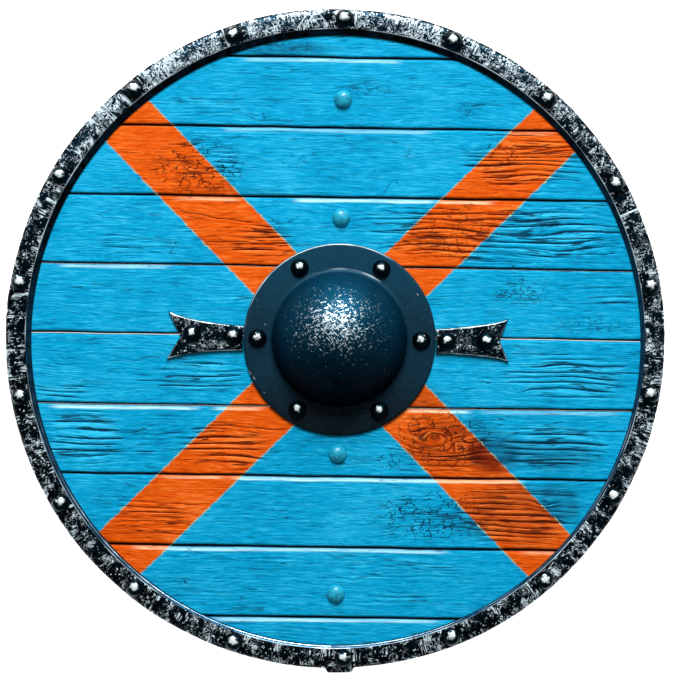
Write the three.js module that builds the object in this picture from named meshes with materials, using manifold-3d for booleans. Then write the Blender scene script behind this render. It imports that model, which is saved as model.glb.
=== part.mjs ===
// Wooden round shield: painted planks held in an iron rim, with a hollow iron boss over the hand hole,
// two fishtail straps beside it and a wooden grip riveted across the back.
//
// Millimetres. The shield lies on its back: the grip's underside is on z = 0, the painted front faces
// +Z, and +Y is the shield's top. The origin is under the centre of the disc.

import * as THREE from 'three';
import { mergeVertices } from 'three/addons/utils/BufferGeometryUtils.js';
import Module from 'manifold-3d';

const wasm = await Module();
wasm.setup();

// ---- Driving dimensions -------------------------------------------------------------------------

const SHIELD_RADIUS = 305;
const FIT = 0.3; // clearance between neighbouring pieces

// Ten planks run across the shield. They were sawn by hand, so the seams between them are not quite
// even. The heights are listed from the top.
const SEAM_HEIGHTS = [259.5, 194.5, 130, 66, 1.5, -64, -128.5, -194, -259];
const PLANK = { back: 14, front: 26, radius: 301, seamGap: 0.4, bevelWidth: 2.6, bevelDepth: 1.6 };

// The boss, its straps and the grip are centred on one spot, a little off the centre of the disc.
const BOSS_CENTRE = { x: 4, y: -1 };
const HAND_HOLE_RADIUS = 56;

// The rim is a channel round the planks' ends: a wall, a crowned front band with a rolled inner lip,
// and a plain flange behind.
const RIM = {
  wall: 3,
  faceInner: 286.5, // where the front band meets its rolled lip
  lipInner: 281,
  proud: 4.7, // height of the crown above the planks
  edgeRound: 1.8,
  backInner: 284,
  backThickness: 2.5,
};

// The ends of the rim's strip are lapped at the bottom and stand out from the circle there.
const LAP = { angle: -88.4, halfLength: 14, standOut: 4.2, cornerRadius: 3.5 };

const BOSS = {
  flangeRadius: 89,
  flangeThickness: 2.5,
  edgeBevel: 0.8,
  domeRadius: 62, // where the dome's sphere meets the fillet, seen from the front
  domeTop: 78,
  wall: 2.5,
  fillet: 4,
};

// Each strap starts at the boss's flange, widens along a hollow curve and ends in two points.
// reach and notch are measured from the boss's centre; rivets are [distance out, distance up].
const STRAP = { thickness: 3, bevel: 0.9, rootHalfWidth: 11.3, waist: 137, waistHalfWidth: 13 };
const STRAPS = [
  {
    name: 'strap_left', side: -1, drop: -0.3, tilt: 1.4, reach: 159, notch: 146.5, tipHalfWidth: 22.5,
    rivets: [[98.5, 2], [136.5, 2.6]],
  },
  {
    name: 'strap_right', side: 1, drop: -0.4, tilt: 1.5, reach: 156, notch: 148, tipHalfWidth: 20,
    rivets: [[99.5, -0.4], [136, -0.4]],
  },
];

// All the rivets have the same domed head and shank. Most are peened over behind the planks or rim.
const RIVET = { headRadius: 8.5, headHeight: 6, shankRadius: 2.5, tailRadius: 4.4, tailHeight: 1.6 };
const RIVET_HOLE_RADIUS = 3.3;
const RIM_RIVETS = { count: 18, radius: 295.8, turn: 0.75, creep: 1.6, creepPhase: 10 };
const BOSS_RIVETS = { count: 6, radius: 75.7 };
const GRIP_RIVET_HEIGHTS = [221.5, 112, -107, -236.5];

// The grip is one bar, squared where it lies under the planks and rounded over the hand hole.
const GRIP = {
  halfLength: 262,
  halfWidth: 17,
  endHalfWidth: 13,
  handHalfWidth: 14.5,
  handHeight: 24,
  handHalfLength: 34, // the fully rounded stretch, each way from the middle
  squareFrom: 52,
  endBevelLength: 14,
  endBevelRise: 5,
  countersinkRadius: 5.2,
  countersinkDepth: 3.6,
};

// Numbers of sides of the faceted round forms.
const SIDES = { disc: 64, boss: 36, rivet: 8, hole: 6, grip: 16 };

// ---- Finishes -----------------------------------------------------------------------------------

const FINISHES = {
  bluePaint: { color: 0x0aacda, roughness: 0.55, metalness: 0 },
  blackenedIron: { color: 0x22323a, roughness: 0.45, metalness: 0.85 },
  bareWood: { color: 0x8a6a45, roughness: 0.7, metalness: 0 },
};

// ---- Helpers ------------------------------------------------------------------------------------

const { degToRad, lerp, smoothstep } = THREE.MathUtils;

function pointOnCircle(radius, degrees, centre = { x: 0, y: 0 }) {
  const angle = degToRad(degrees);
  return { x: centre.x + radius * Math.cos(angle), y: centre.y + radius * Math.sin(angle) };
}

// A closed geometry as a solid: its shared corners are merged and the flat slivers at poles dropped.
function solidOf(geometry) {
  const bare = geometry.clone();
  bare.deleteAttribute('normal');
  bare.deleteAttribute('uv');
  const merged = mergeVertices(bare, 1e-3);
  const corners = merged.index.array;
  const kept = [];
  for (let i = 0; i < corners.length; i += 3) {
    const [a, b, c] = [corners[i], corners[i + 1], corners[i + 2]];
    if (a !== b && b !== c && c !== a) kept.push(a, b, c);
  }
  return new wasm.Manifold(new wasm.Mesh({
    numProp: 3,
    vertProperties: merged.attributes.position.array,
    triVerts: new Uint32Array(kept),
  }));
}

function geometryOf(solid) {
  const cut = solid.getMesh();
  const geometry = new THREE.BufferGeometry();
  geometry.setAttribute('position', new THREE.BufferAttribute(cut.vertProperties, 3));
  geometry.setIndex(new THREE.BufferAttribute(cut.triVerts, 1));
  geometry.computeVertexNormals();
  return geometry;
}

// A profile of [radius, height] pairs turned about the Z axis.
function turned(profile, sides) {
  const points = profile.map(([radius, height]) => new THREE.Vector2(radius, height));
  return new THREE.LatheGeometry(points, sides).rotateX(Math.PI / 2);
}

// The points of an arc in a profile, as [radius, height] pairs, between two angles in degrees.
function profileArc(centreRadius, centreHeight, radius, fromDegrees, toDegrees, steps) {
  return Array.from({ length: steps + 1 }, (_, i) => {
    const angle = degToRad(lerp(fromDegrees, toDegrees, i / steps));
    return [centreRadius + radius * Math.cos(angle), centreHeight + radius * Math.sin(angle)];
  });
}

// An upright round bar that drills right through the shield.
function drill({ x, y }, radius = RIVET_HOLE_RADIUS, sides = SIDES.hole) {
  const height = 200;
  const bar = new THREE.CylinderGeometry(radius, radius, height, sides);
  return solidOf(bar.rotateX(Math.PI / 2).translate(x, y, 0));
}

function drilled(solid, spots) {
  return spots.reduce((rest, spot) => rest.subtract(drill(spot)), solid);
}

function mesh(name, geometry, finish) {
  const piece = new THREE.Mesh(geometry, new THREE.MeshStandardMaterial(finish));
  piece.name = name;
  return piece;
}

// ---- Where the rivets are -----------------------------------------------------------------------

// The rim's rivets were set out by eye: their spacing opens towards one side and closes on the other.
function rimRivetSpots() {
  const { count, radius, turn, creep, creepPhase } = RIM_RIVETS;
  return Array.from({ length: count }, (_, i) => {
    const even = 90 - (360 / count) * i;
    const angle = even + turn - creep * Math.sin(degToRad(even + creepPhase));
    return pointOnCircle(radius, angle);
  });
}

function bossRivetSpots() {
  const { count, radius } = BOSS_RIVETS;
  return Array.from({ length: count }, (_, i) => pointOnCircle(radius, (360 / count) * i, BOSS_CENTRE));
}

function gripRivetSpots() {
  return GRIP_RIVET_HEIGHTS.map((y) => ({ x: BOSS_CENTRE.x, y }));
}

// Turns a strap's own directions, out and up, into a place on the shield.
function onStrap(strap, out, up) {
  const angle = degToRad(strap.tilt);
  const fromRoot = out - BOSS.flangeRadius;
  return {
    x: BOSS_CENTRE.x + strap.side * (BOSS.flangeRadius + fromRoot * Math.cos(angle) - up * Math.sin(angle)),
    y: BOSS_CENTRE.y + strap.drop + fromRoot * Math.sin(angle) + up * Math.cos(angle),
  };
}

function strapRivetSpots(strap) {
  return strap.rivets.map(([out, up]) => onStrap(strap, out, up));
}

// ---- Planks -------------------------------------------------------------------------------------

// A plank is a bar across the shield, with its front long edges bevelled, cut to the disc's round.
function plank(top, bottom, disc, spots) {
  const { back, front, bevelWidth, bevelDepth, radius } = PLANK;
  const section = new THREE.Shape([
    new THREE.Vector2(bottom, back),
    new THREE.Vector2(top, back),
    new THREE.Vector2(top, front - bevelDepth),
    new THREE.Vector2(top - bevelWidth, front),
    new THREE.Vector2(bottom + bevelWidth, front),
    new THREE.Vector2(bottom, front - bevelDepth),
  ]);
  const length = radius * 2 + 20;
  const bar = new THREE.ExtrudeGeometry(section, { depth: length, bevelEnabled: false });
  bar.translate(0, 0, -length / 2).applyMatrix4(new THREE.Matrix4().makeBasis(
    new THREE.Vector3(0, 1, 0),
    new THREE.Vector3(0, 0, 1),
    new THREE.Vector3(1, 0, 0),
  ));
  const near = spots.filter(({ y }) => y < top + RIVET_HOLE_RADIUS && y > bottom - RIVET_HOLE_RADIUS);
  return drilled(solidOf(bar).intersect(disc), near);
}

function planks() {
  const { radius, front, back, seamGap } = PLANK;
  const round = new THREE.CylinderGeometry(radius, radius, front - back, SIDES.disc);
  const handHole = drill(BOSS_CENTRE, HAND_HOLE_RADIUS, SIDES.boss);
  const disc = solidOf(round.rotateX(Math.PI / 2).translate(0, 0, (front + back) / 2)).subtract(handHole);
  const spots = [
    ...rimRivetSpots(), ...bossRivetSpots(), ...gripRivetSpots(), ...STRAPS.flatMap(strapRivetSpots),
  ];
  const beyond = SHIELD_RADIUS + 10;
  const edges = [beyond, ...SEAM_HEIGHTS, -beyond];
  const group = new THREE.Group();
  for (let i = 0; i + 1 < edges.length; i += 1) {
    const solid = plank(edges[i] - seamGap / 2, edges[i + 1] + seamGap / 2, disc, spots);
    group.add(mesh(`plank_${i + 1}`, geometryOf(solid), FINISHES.bluePaint));
  }
  return group;
}

// ---- Rim ----------------------------------------------------------------------------------------

function rim() {
  const { wall, faceInner, lipInner, proud, edgeRound, backInner, backThickness } = RIM;
  const outer = SHIELD_RADIUS;
  const inner = outer - wall;
  const crown = PLANK.front + proud;
  const under = PLANK.front + FIT;
  const backTop = PLANK.back - FIT;
  const backFace = backTop - backThickness;
  const channel = turned([
    [backInner, backFace],
    [outer - edgeRound, backFace],
    [outer, backFace + edgeRound],
    [outer, crown - edgeRound * 1.5],
    [outer - edgeRound, crown - edgeRound * 0.5],
    [lerp(outer, faceInner, 0.5), crown],
    [faceInner, crown - 0.8],
    [lerp(faceInner, lipInner, 0.6), crown - 2.2],
    [lipInner, under + 0.8],
    [lipInner, under],
    [inner, under],
    [inner, backTop],
    [backInner, backTop],
    [backInner, backFace],
  ], SIDES.disc);
  const solid = solidOf(channel).add(lap(backFace, crown - edgeRound));
  return mesh('rim', geometryOf(drilled(solid, rimRivetSpots())), FINISHES.blackenedIron);
}

// The lapped ends: a short block on the outside of the wall with rounded corners.
function lap(low, high) {
  const { angle, halfLength, standOut, cornerRadius } = LAP;
  const rootDepth = 2;
  const outline = new THREE.Shape();
  outline.moveTo(-rootDepth, halfLength);
  outline.lineTo(-rootDepth, -halfLength);
  outline.lineTo(standOut - cornerRadius, -halfLength);
  outline.absarc(standOut - cornerRadius, cornerRadius - halfLength, cornerRadius, -Math.PI / 2, 0);
  outline.absarc(standOut - cornerRadius, halfLength - cornerRadius, cornerRadius, 0, Math.PI / 2);
  outline.closePath();
  const block = new THREE.ExtrudeGeometry(outline, {
    depth: high - low, bevelEnabled: false, curveSegments: 3,
  });
  block.translate(SHIELD_RADIUS, 0, low).rotateZ(degToRad(angle));
  return solidOf(block);
}

// ---- Boss and straps ----------------------------------------------------------------------------

function boss() {
  const { flangeRadius, flangeThickness, edgeBevel, domeRadius, domeTop, wall, fillet } = BOSS;
  const seat = PLANK.front + FIT;
  const flangeTop = seat + flangeThickness;

  // The dome is part of a sphere that passes through its top and through its foot above the fillet.
  const footHeight = flangeTop + fillet * 0.7;
  const rise = domeTop - footHeight;
  const sphereRadius = (domeRadius ** 2 + rise ** 2) / (2 * rise);
  const sphereHeight = domeTop - sphereRadius;

  const filletHeight = flangeTop + fillet;
  const filletReach = sphereRadius + fillet;
  const filletCentre = Math.sqrt(filletReach ** 2 - (filletHeight - sphereHeight) ** 2);
  const footAngle = THREE.MathUtils.radToDeg(Math.atan2(filletHeight - sphereHeight, filletCentre));

  const hollowRadius = sphereRadius - wall;
  const mouthAngle = THREE.MathUtils.radToDeg(Math.asin((seat - sphereHeight) / hollowRadius));

  const shell = turned([
    ...profileArc(0, sphereHeight, hollowRadius, 90, mouthAngle, 5),
    [flangeRadius, seat],
    [flangeRadius, flangeTop - edgeBevel],
    [flangeRadius - edgeBevel, flangeTop],
    ...profileArc(filletCentre, filletHeight, fillet, -90, -180 + footAngle, 2),
    ...profileArc(0, sphereHeight, sphereRadius, footAngle, 90, 8).slice(1),
  ], SIDES.boss);
  shell.translate(BOSS_CENTRE.x, BOSS_CENTRE.y, 0);
  return mesh('boss', geometryOf(drilled(solidOf(shell), bossRivetSpots())), FINISHES.blackenedIron);
}

function strapOutline({ reach, notch, tipHalfWidth }) {
  const { rootHalfWidth, waist, waistHalfWidth } = STRAP;
  const start = BOSS.flangeRadius - 8;
  const outline = new THREE.Shape();
  outline.moveTo(start, -rootHalfWidth);
  outline.quadraticCurveTo(waist, -waistHalfWidth, reach, -tipHalfWidth);
  outline.lineTo(notch, 0);
  outline.lineTo(reach, tipHalfWidth);
  outline.quadraticCurveTo(waist, waistHalfWidth, start, rootHalfWidth);
  outline.closePath();
  return outline;
}

function strap(shape) {
  const { thickness, bevel } = STRAP;
  const seat = PLANK.front + FIT;
  const plate = new THREE.ExtrudeGeometry(strapOutline(shape), {
    depth: thickness - bevel, bevelThickness: bevel, bevelSize: bevel, bevelOffset: -bevel,
    bevelSegments: 1, curveSegments: 7,
  });
  plate.translate(-BOSS.flangeRadius, 0, seat);
  if (shape.side < 0) plate.rotateY(Math.PI).translate(0, 0, seat * 2 + thickness - bevel);
  plate.rotateZ(degToRad(shape.side * shape.tilt));
  plate.translate(BOSS_CENTRE.x + shape.side * BOSS.flangeRadius, BOSS_CENTRE.y + shape.drop, 0);

  // The underside's bevel is planed off, and the inner end is cut to the flange's round.
  const planeSize = SHIELD_RADIUS * 2;
  const below = new THREE.BoxGeometry(planeSize, planeSize, thickness).translate(0, 0, seat - thickness / 2);
  const flange = drill(BOSS_CENTRE, BOSS.flangeRadius + FIT * 2, SIDES.boss);
  const solid = solidOf(plate).subtract(solidOf(below)).subtract(flange);
  return mesh(shape.name, geometryOf(drilled(solid, strapRivetSpots(shape))), FINISHES.blackenedIron);
}

// ---- Grip ---------------------------------------------------------------------------------------

// How much of a hand grip the bar is at a distance from its middle: 1 is fully rounded, 0 is square.
function handShare(along) {
  return 1 - smoothstep(Math.abs(along), GRIP.handHalfLength, GRIP.squareFrom);
}

function grip() {
  const { halfLength, endBevelLength, handHalfLength, squareFrom } = GRIP;
  const bend = lerp(handHalfLength, squareFrom, 0.5);
  const outward = [handHalfLength, bend, squareFrom, halfLength - endBevelLength, halfLength];
  const stations = [...outward.map((along) => -along).reverse(), 0, ...outward];
  const steps = stations.length - 1;

  const squareHeight = PLANK.back - FIT;
  const bar = new THREE.CylinderGeometry(1, 1, 1, SIDES.grip, steps);
  const place = bar.attributes.position;
  for (let i = 0; i < place.count; i += 1) {
    const along = stations[Math.round((place.getY(i) + 0.5) * steps)];
    const share = handShare(along);
    const across = Math.abs(place.getX(i));
    const upward = Math.abs(place.getZ(i));
    const toSquare = 1 / Math.max(across, upward, 0.5);
    const reach = lerp(toSquare, 1, share);
    const taper = lerp(GRIP.halfWidth, GRIP.endHalfWidth, Math.abs(along) / halfLength);
    const halfWidth = lerp(taper, GRIP.handHalfWidth, share);
    const height = lerp(squareHeight, GRIP.handHeight, share);
    const low = Math.abs(along) === halfLength ? GRIP.endBevelRise : 0;
    place.setXYZ(
      i,
      place.getX(i) * reach * halfWidth,
      along,
      lerp(low, height, (1 + place.getZ(i) * reach) / 2),
    );
  }
  bar.translate(BOSS_CENTRE.x, BOSS_CENTRE.y, 0);

  const countersink = [
    [0, -1],
    [GRIP.countersinkRadius, -1],
    [GRIP.countersinkRadius, 0],
    [RIVET_HOLE_RADIUS, GRIP.countersinkDepth],
    [0, GRIP.countersinkDepth],
  ];
  const seats = gripRivetSpots().map(({ x, y }) => solidOf(turned(countersink, SIDES.rivet).translate(x, y, 0)));
  const solid = seats.reduce((rest, seat) => rest.subtract(seat), drilled(solidOf(bar), gripRivetSpots()));
  return mesh('grip', geometryOf(solid), FINISHES.bareWood);
}

// ---- Rivets -------------------------------------------------------------------------------------

// A rivet whose head sits on the height seat. Its tail is [[radius, height], ...] from the shank down.
function rivetGeometry(seat, tail) {
  const { headRadius, headHeight, shankRadius } = RIVET;
  const profile = [
    ...[...tail].reverse(),
    [shankRadius, seat],
    [headRadius, seat],
    [headRadius * 0.97, seat + headHeight * 0.3],
    [headRadius * 0.6, seat + headHeight * 0.83],
    [0, seat + headHeight],
  ];
  return turned(profile, SIDES.rivet);
}

// The peened tail of a rivet that ends behind a back face at the given height: a low cone.
function peenedTail(backFace) {
  const top = backFace - FIT;
  return [
    [RIVET.shankRadius, top],
    [RIVET.tailRadius, top],
    [0, top - RIVET.tailHeight],
  ];
}

function rivets(names, spots, seat, tail, finish) {
  const geometry = rivetGeometry(seat + FIT, tail);
  const group = new THREE.Group();
  spots.forEach(({ x, y }, i) => {
    const rivet = mesh(names(i), geometry, finish);
    rivet.position.set(x, y, 0);
    group.add(rivet);
  });
  return group;
}

function allRivets() {
  const { blackenedIron, bluePaint } = FINISHES;
  const plateSeat = PLANK.front + FIT;
  const rimBack = PLANK.back - FIT - RIM.backThickness;
  const sunkTail = [
    [RIVET.shankRadius, GRIP.countersinkDepth],
    [RIVET.tailRadius, FIT * 2],
    [0, FIT * 2],
  ];
  const group = new THREE.Group();
  group.add(rivets(
    (i) => `rim_rivet_${String(i + 1).padStart(2, '0')}`,
    rimRivetSpots(), PLANK.front + RIM.proud, peenedTail(rimBack), blackenedIron,
  ));
  group.add(rivets(
    (i) => `boss_rivet_${i + 1}`,
    bossRivetSpots(), plateSeat + BOSS.flangeThickness, peenedTail(PLANK.back), blackenedIron,
  ));
  STRAPS.forEach((shape) => group.add(rivets(
    (i) => `${shape.name}_rivet_${i + 1}`,
    strapRivetSpots(shape), plateSeat + STRAP.thickness, peenedTail(PLANK.back), blackenedIron,
  )));
  group.add(rivets((i) => `grip_rivet_${i + 1}`, gripRivetSpots(), PLANK.front, sunkTail, bluePaint));
  return group;
}

// ---- The shield ---------------------------------------------------------------------------------

const shield = new THREE.Group();
shield.add(planks(), rim(), boss(), ...STRAPS.map(strap), grip(), allRivets());

export default shield;
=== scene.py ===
"""Wooden round shield, dressed: painted planks, iron rim, boss, straps and rivets, a grip.

The sizes are in millimetres and in the frame's own directions: the shield lies on its back, its
painted front faces +Z and +Y is its top. A piece is scaled to metres when its form is finished.
"""

from __future__ import annotations

import logging
import math
from dataclasses import dataclass, field
from enum import Enum
from typing import Sequence

import bmesh
import bpy
import numpy as np
from mathutils import Matrix, Vector

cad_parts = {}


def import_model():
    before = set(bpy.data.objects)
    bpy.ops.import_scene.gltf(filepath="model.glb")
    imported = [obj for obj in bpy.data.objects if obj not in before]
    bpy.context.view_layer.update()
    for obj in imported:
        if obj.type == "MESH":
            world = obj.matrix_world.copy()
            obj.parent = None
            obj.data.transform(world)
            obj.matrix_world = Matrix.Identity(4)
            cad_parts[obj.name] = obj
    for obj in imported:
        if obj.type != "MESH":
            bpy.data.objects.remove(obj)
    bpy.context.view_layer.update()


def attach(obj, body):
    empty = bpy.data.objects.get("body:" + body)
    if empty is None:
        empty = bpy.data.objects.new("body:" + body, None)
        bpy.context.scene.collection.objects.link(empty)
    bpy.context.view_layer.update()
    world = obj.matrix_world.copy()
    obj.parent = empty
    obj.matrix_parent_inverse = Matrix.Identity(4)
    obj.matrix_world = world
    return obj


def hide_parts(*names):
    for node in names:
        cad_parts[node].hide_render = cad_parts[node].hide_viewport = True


LOG = logging.getLogger("shield")

MM = 0.001
Array = np.ndarray
Profile = list[tuple[float, float]]
Spot = tuple[float, float]

# ---- Driving dimensions, the same as the part's -------------------------------------------------

SHIELD_RADIUS = 305.0
FIT = 0.3  # play between pieces
SEAM_HEIGHTS = (259.5, 194.5, 130.0, 66.0, 1.5, -64.0, -128.5, -194.0, -259.0)
PLANK_BACK = 14.0
PLANK_FRONT = 26.0
PLANK_RADIUS = 301.0
SEAM_GAP = 0.4
BOSS_CENTRE = (4.0, -1.0)
HAND_HOLE_RADIUS = 56.0
HAND_HOLE_SIDES = 96
DRILL_LENGTH = 0.3  # in metres, well through any piece
SAW_WAVER = 0.55  # how far a sawn seam wanders from its height


# ---- Small shared tools -------------------------------------------------------------------------


def linear(colour: int) -> tuple[float, float, float, float]:
    """Turns an sRGB hex colour to a linear one.

    Args:
        colour: The colour as 0xRRGGBB.

    Returns:
        Linear red, green, blue and an alpha of 1.
    """
    parts = [((colour >> shift) & 0xFF) / 255 for shift in (16, 8, 0)]
    straight = [p / 12.92 if p <= 0.04045 else ((p + 0.055) / 1.055) ** 2.4 for p in parts]
    return (straight[0], straight[1], straight[2], 1.0)


def smooth(values: Array, low: float, high: float) -> Array:
    """Eases values from 0 at low to 1 at high."""
    share = np.clip((values - low) / (high - low), 0.0, 1.0)
    return share * share * (3.0 - 2.0 * share)


def drift(x: Array, y: Array, pitch: tuple[float, float], seed: int, octaves: int = 1) -> Array:
    """Smooth random drift over a surface.

    Args:
        x: Places along the first direction, in mm.
        y: Places along the second direction, in mm.
        pitch: Distance between the random values along x and along y, in mm.
        seed: Seed of the random values.
        octaves: Number of layers, each twice as fine and half as strong.

    Returns:
        Values from -1 to 1, one for each place.
    """
    size = 256
    table = np.random.default_rng(seed).uniform(-1.0, 1.0, (size, size))
    total = np.zeros(np.broadcast(x, y).shape)
    for octave in range(octaves):
        u = x / pitch[0] * 2**octave + 31.7 * (octave + 1)
        v = y / pitch[1] * 2**octave + 57.3 * (octave + 1)
        column, row = np.floor(u).astype(int), np.floor(v).astype(int)
        fu, fv = u - column, v - row
        fu, fv = fu * fu * (3 - 2 * fu), fv * fv * (3 - 2 * fv)
        column, row = column % size, row % size
        right, up = (column + 1) % size, (row + 1) % size
        low = table[column, row] * (1 - fu) + table[right, row] * fu
        high = table[column, up] * (1 - fu) + table[right, up] * fu
        total += (low * (1 - fv) + high * fv) / 2**octave
    return total / (2 - 2.0 ** (1 - octaves))


def on_circle(radius: float, degrees: float, centre: Spot = (0.0, 0.0)) -> Spot:
    """A spot on a circle round a centre."""
    angle = math.radians(degrees)
    return (centre[0] + radius * math.cos(angle), centre[1] + radius * math.sin(angle))


def arc(centre: Spot, radius: float, start: float, end: float, steps: int) -> Profile:
    """Points of an arc in a profile, as (radius, height) pairs, between two angles in degrees."""
    return [
        on_circle(radius, start + (end - start) * i / steps, centre) for i in range(steps + 1)
    ]


def along(points: Profile, spacing: float) -> Profile:
    """Adds points to a profile so that none of its lines is longer than the spacing."""
    full: Profile = []
    for (r0, z0), (r1, z1) in zip(points, points[1:]):
        steps = max(1, round(math.hypot(r1 - r0, z1 - z0) / spacing))
        full += [(r0 + (r1 - r0) * i / steps, z0 + (z1 - z0) * i / steps) for i in range(steps)]
    return full + [points[-1]]


# ---- Forms: a piece while it is being made ------------------------------------------------------


class Form:
    """A closed mesh in millimetres, made from a bmesh and then worked over with relief."""

    def __init__(self, name: str, shape: bmesh.types.BMesh) -> None:
        """Takes over the bmesh.

        Args:
            name: Name of the piece.
            shape: The closed shape in mm. It is freed here.
        """
        bmesh.ops.recalc_face_normals(shape, faces=shape.faces)
        self.name = name
        self.mesh = bpy.data.meshes.new(name)
        shape.to_mesh(self.mesh)
        shape.free()

    @property
    def places(self) -> Array:
        """The corners' places in mm, one row each."""
        flat = np.empty(len(self.mesh.vertices) * 3, np.float32)
        self.mesh.vertices.foreach_get("co", flat)
        return flat.reshape(-1, 3).astype(float)

    def move(self, places: Array) -> None:
        """Puts the corners at new places, in mm."""
        self.mesh.vertices.foreach_set("co", places.astype(np.float32).ravel())
        self.mesh.update()

    def note(self, name: str, values: Array) -> None:
        """Keeps one number for each corner, which a material reads by its name."""
        attribute = self.mesh.attributes.new(name, "FLOAT", "POINT")
        attribute.data.foreach_set("value", values.astype(np.float32))

    def finish(
        self,
        materials: Sequence[bpy.types.Material],
        crease: float = 40.0,
    ) -> bpy.types.Object:
        """Makes the form an object in metres.

        Args:
            materials: Its materials, in the order of the faces' material numbers.
            crease: Angle in degrees above which an edge stays sharp.

        Returns:
            The object, at the origin, unturned and unscaled.
        """
        self.mesh.transform(Matrix.Scale(MM, 4))
        self.mesh.shade_smooth()
        self.mesh.set_sharp_from_angle(angle=math.radians(crease))
        for material in materials:
            self.mesh.materials.append(material)
        made = bpy.data.objects.new(self.name, self.mesh)
        bpy.context.scene.collection.objects.link(made)
        return made


def turned(profile: Profile, steps: int, centre: Spot = (0.0, 0.0)) -> bmesh.types.BMesh:
    """Spins a profile about an upright axis.

    Args:
        profile: (radius, height) pairs in mm. A closed loop repeats its first point; an open line
            starts and ends on the axis.
        steps: Number of steps round the circle.
        centre: Where the axis stands.

    Returns:
        The spun shape.
    """
    shape = bmesh.new()
    closed = profile[0] == profile[-1]
    points = profile[:-1] if closed else profile
    corners = [shape.verts.new((centre[0] + r, centre[1], z)) for r, z in points]
    lines = [shape.edges.new(pair) for pair in zip(corners, corners[1:])]
    if closed:
        lines.append(shape.edges.new((corners[-1], corners[0])))
    # A long spin is slow, so a sector is spun and then doubled until it fills the circle.
    doublings = 0
    while steps % 2 == 0 and steps > 8:
        steps //= 2
        doublings += 1
    sector = math.tau / 2**doublings
    axis = Vector((centre[0], centre[1], 0.0))
    bmesh.ops.spin(
        shape,
        geom=corners + lines,
        cent=axis,
        axis=(0.0, 0.0, 1.0),
        dvec=(0.0, 0.0, 0.0),
        angle=sector,
        steps=steps,
        use_merge=doublings == 0,
        use_duplicate=False,
    )
    for _ in range(doublings):
        copy = bmesh.ops.duplicate(shape, geom=[*shape.verts, *shape.edges, *shape.faces])["geom"]
        bmesh.ops.rotate(
            shape,
            verts=[item for item in copy if isinstance(item, bmesh.types.BMVert)],
            cent=axis,
            matrix=Matrix.Rotation(sector, 3, "Z"),
        )
        sector *= 2
    bmesh.ops.remove_doubles(shape, verts=shape.verts, dist=1e-3)
    return shape


def slab(columns: int, rows: int, back: float, front: float) -> tuple[bmesh.types.BMesh, int]:
    """A flat slab whose front is a grid over the square from -1 to 1.

    Args:
        columns: Faces along x.
        rows: Faces along y.
        back: Height of the back face, in mm.
        front: Height of the front face, in mm.

    Returns:
        The shape, and the number of corners on its front, which come first. The back face has
        material number 1.
    """
    shape = bmesh.new()
    bmesh.ops.create_grid(shape, x_segments=columns, y_segments=rows, size=1.0)
    bmesh.ops.translate(shape, verts=shape.verts, vec=(0.0, 0.0, front))
    count = len(shape.verts)
    border = [edge for edge in shape.edges if edge.is_boundary]
    wall = bmesh.ops.extrude_edge_only(shape, edges=border)["geom"]
    foot = [item for item in wall if isinstance(item, bmesh.types.BMVert)]
    for corner in foot:
        corner.co.z = back
    base = [item for item in wall if isinstance(item, bmesh.types.BMEdge) and item.is_boundary]
    for face in bmesh.ops.holes_fill(shape, edges=base, sides=0)["faces"]:
        face.material_index = 1
    return shape, count


def drilled(piece: bpy.types.Object, spot: Spot, radius: float, sides: int) -> None:
    """Cuts an upright round hole through a finished piece.

    Args:
        piece: The piece, in metres.
        spot: Centre of the hole, in mm.
        radius: Radius of the hole, in mm.
        sides: Number of sides of the hole.
    """
    shape = bmesh.new()
    bmesh.ops.create_cone(
        shape,
        cap_ends=True,
        segments=sides,
        radius1=radius * MM,
        radius2=radius * MM,
        depth=DRILL_LENGTH,
        matrix=Matrix.Translation((spot[0] * MM, spot[1] * MM, 0.0)),
    )
    mesh = bpy.data.meshes.new("drill")
    shape.to_mesh(mesh)
    shape.free()
    drill = bpy.data.objects.new("drill", mesh)
    bpy.context.scene.collection.objects.link(drill)
    cut = piece.modifiers.new("cut", "BOOLEAN")
    cut.operation = "DIFFERENCE"
    cut.solver = "EXACT"
    cut.object = drill
    seen = bpy.context.evaluated_depsgraph_get()
    result = bpy.data.meshes.new_from_object(piece.evaluated_get(seen), depsgraph=seen)
    piece.modifiers.clear()
    whole = piece.data
    piece.data = result
    result.name = whole.name
    bpy.data.meshes.remove(whole)
    bpy.data.objects.remove(drill)
    bpy.data.meshes.remove(mesh)


def hand_over(piece: bpy.types.Object, slot: str, *nodes: str) -> None:
    """Lets a piece stand for its solids.

    Args:
        piece: The finished piece.
        slot: The record's material slot; not used.
        *nodes: The solids that it stands for.
    """
    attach(piece, "root")
    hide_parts(*nodes)
    LOG.info("%s: %d faces", piece.name, len(piece.data.polygons))


# ---- Materials ----------------------------------------------------------------------------------


# Settings of a mix of colours. Its inputs are 0, the share, and 6 and 7, the two colours.
COLOUR_MIX = {"output": 2, "data_type": "RGBA"}


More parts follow.
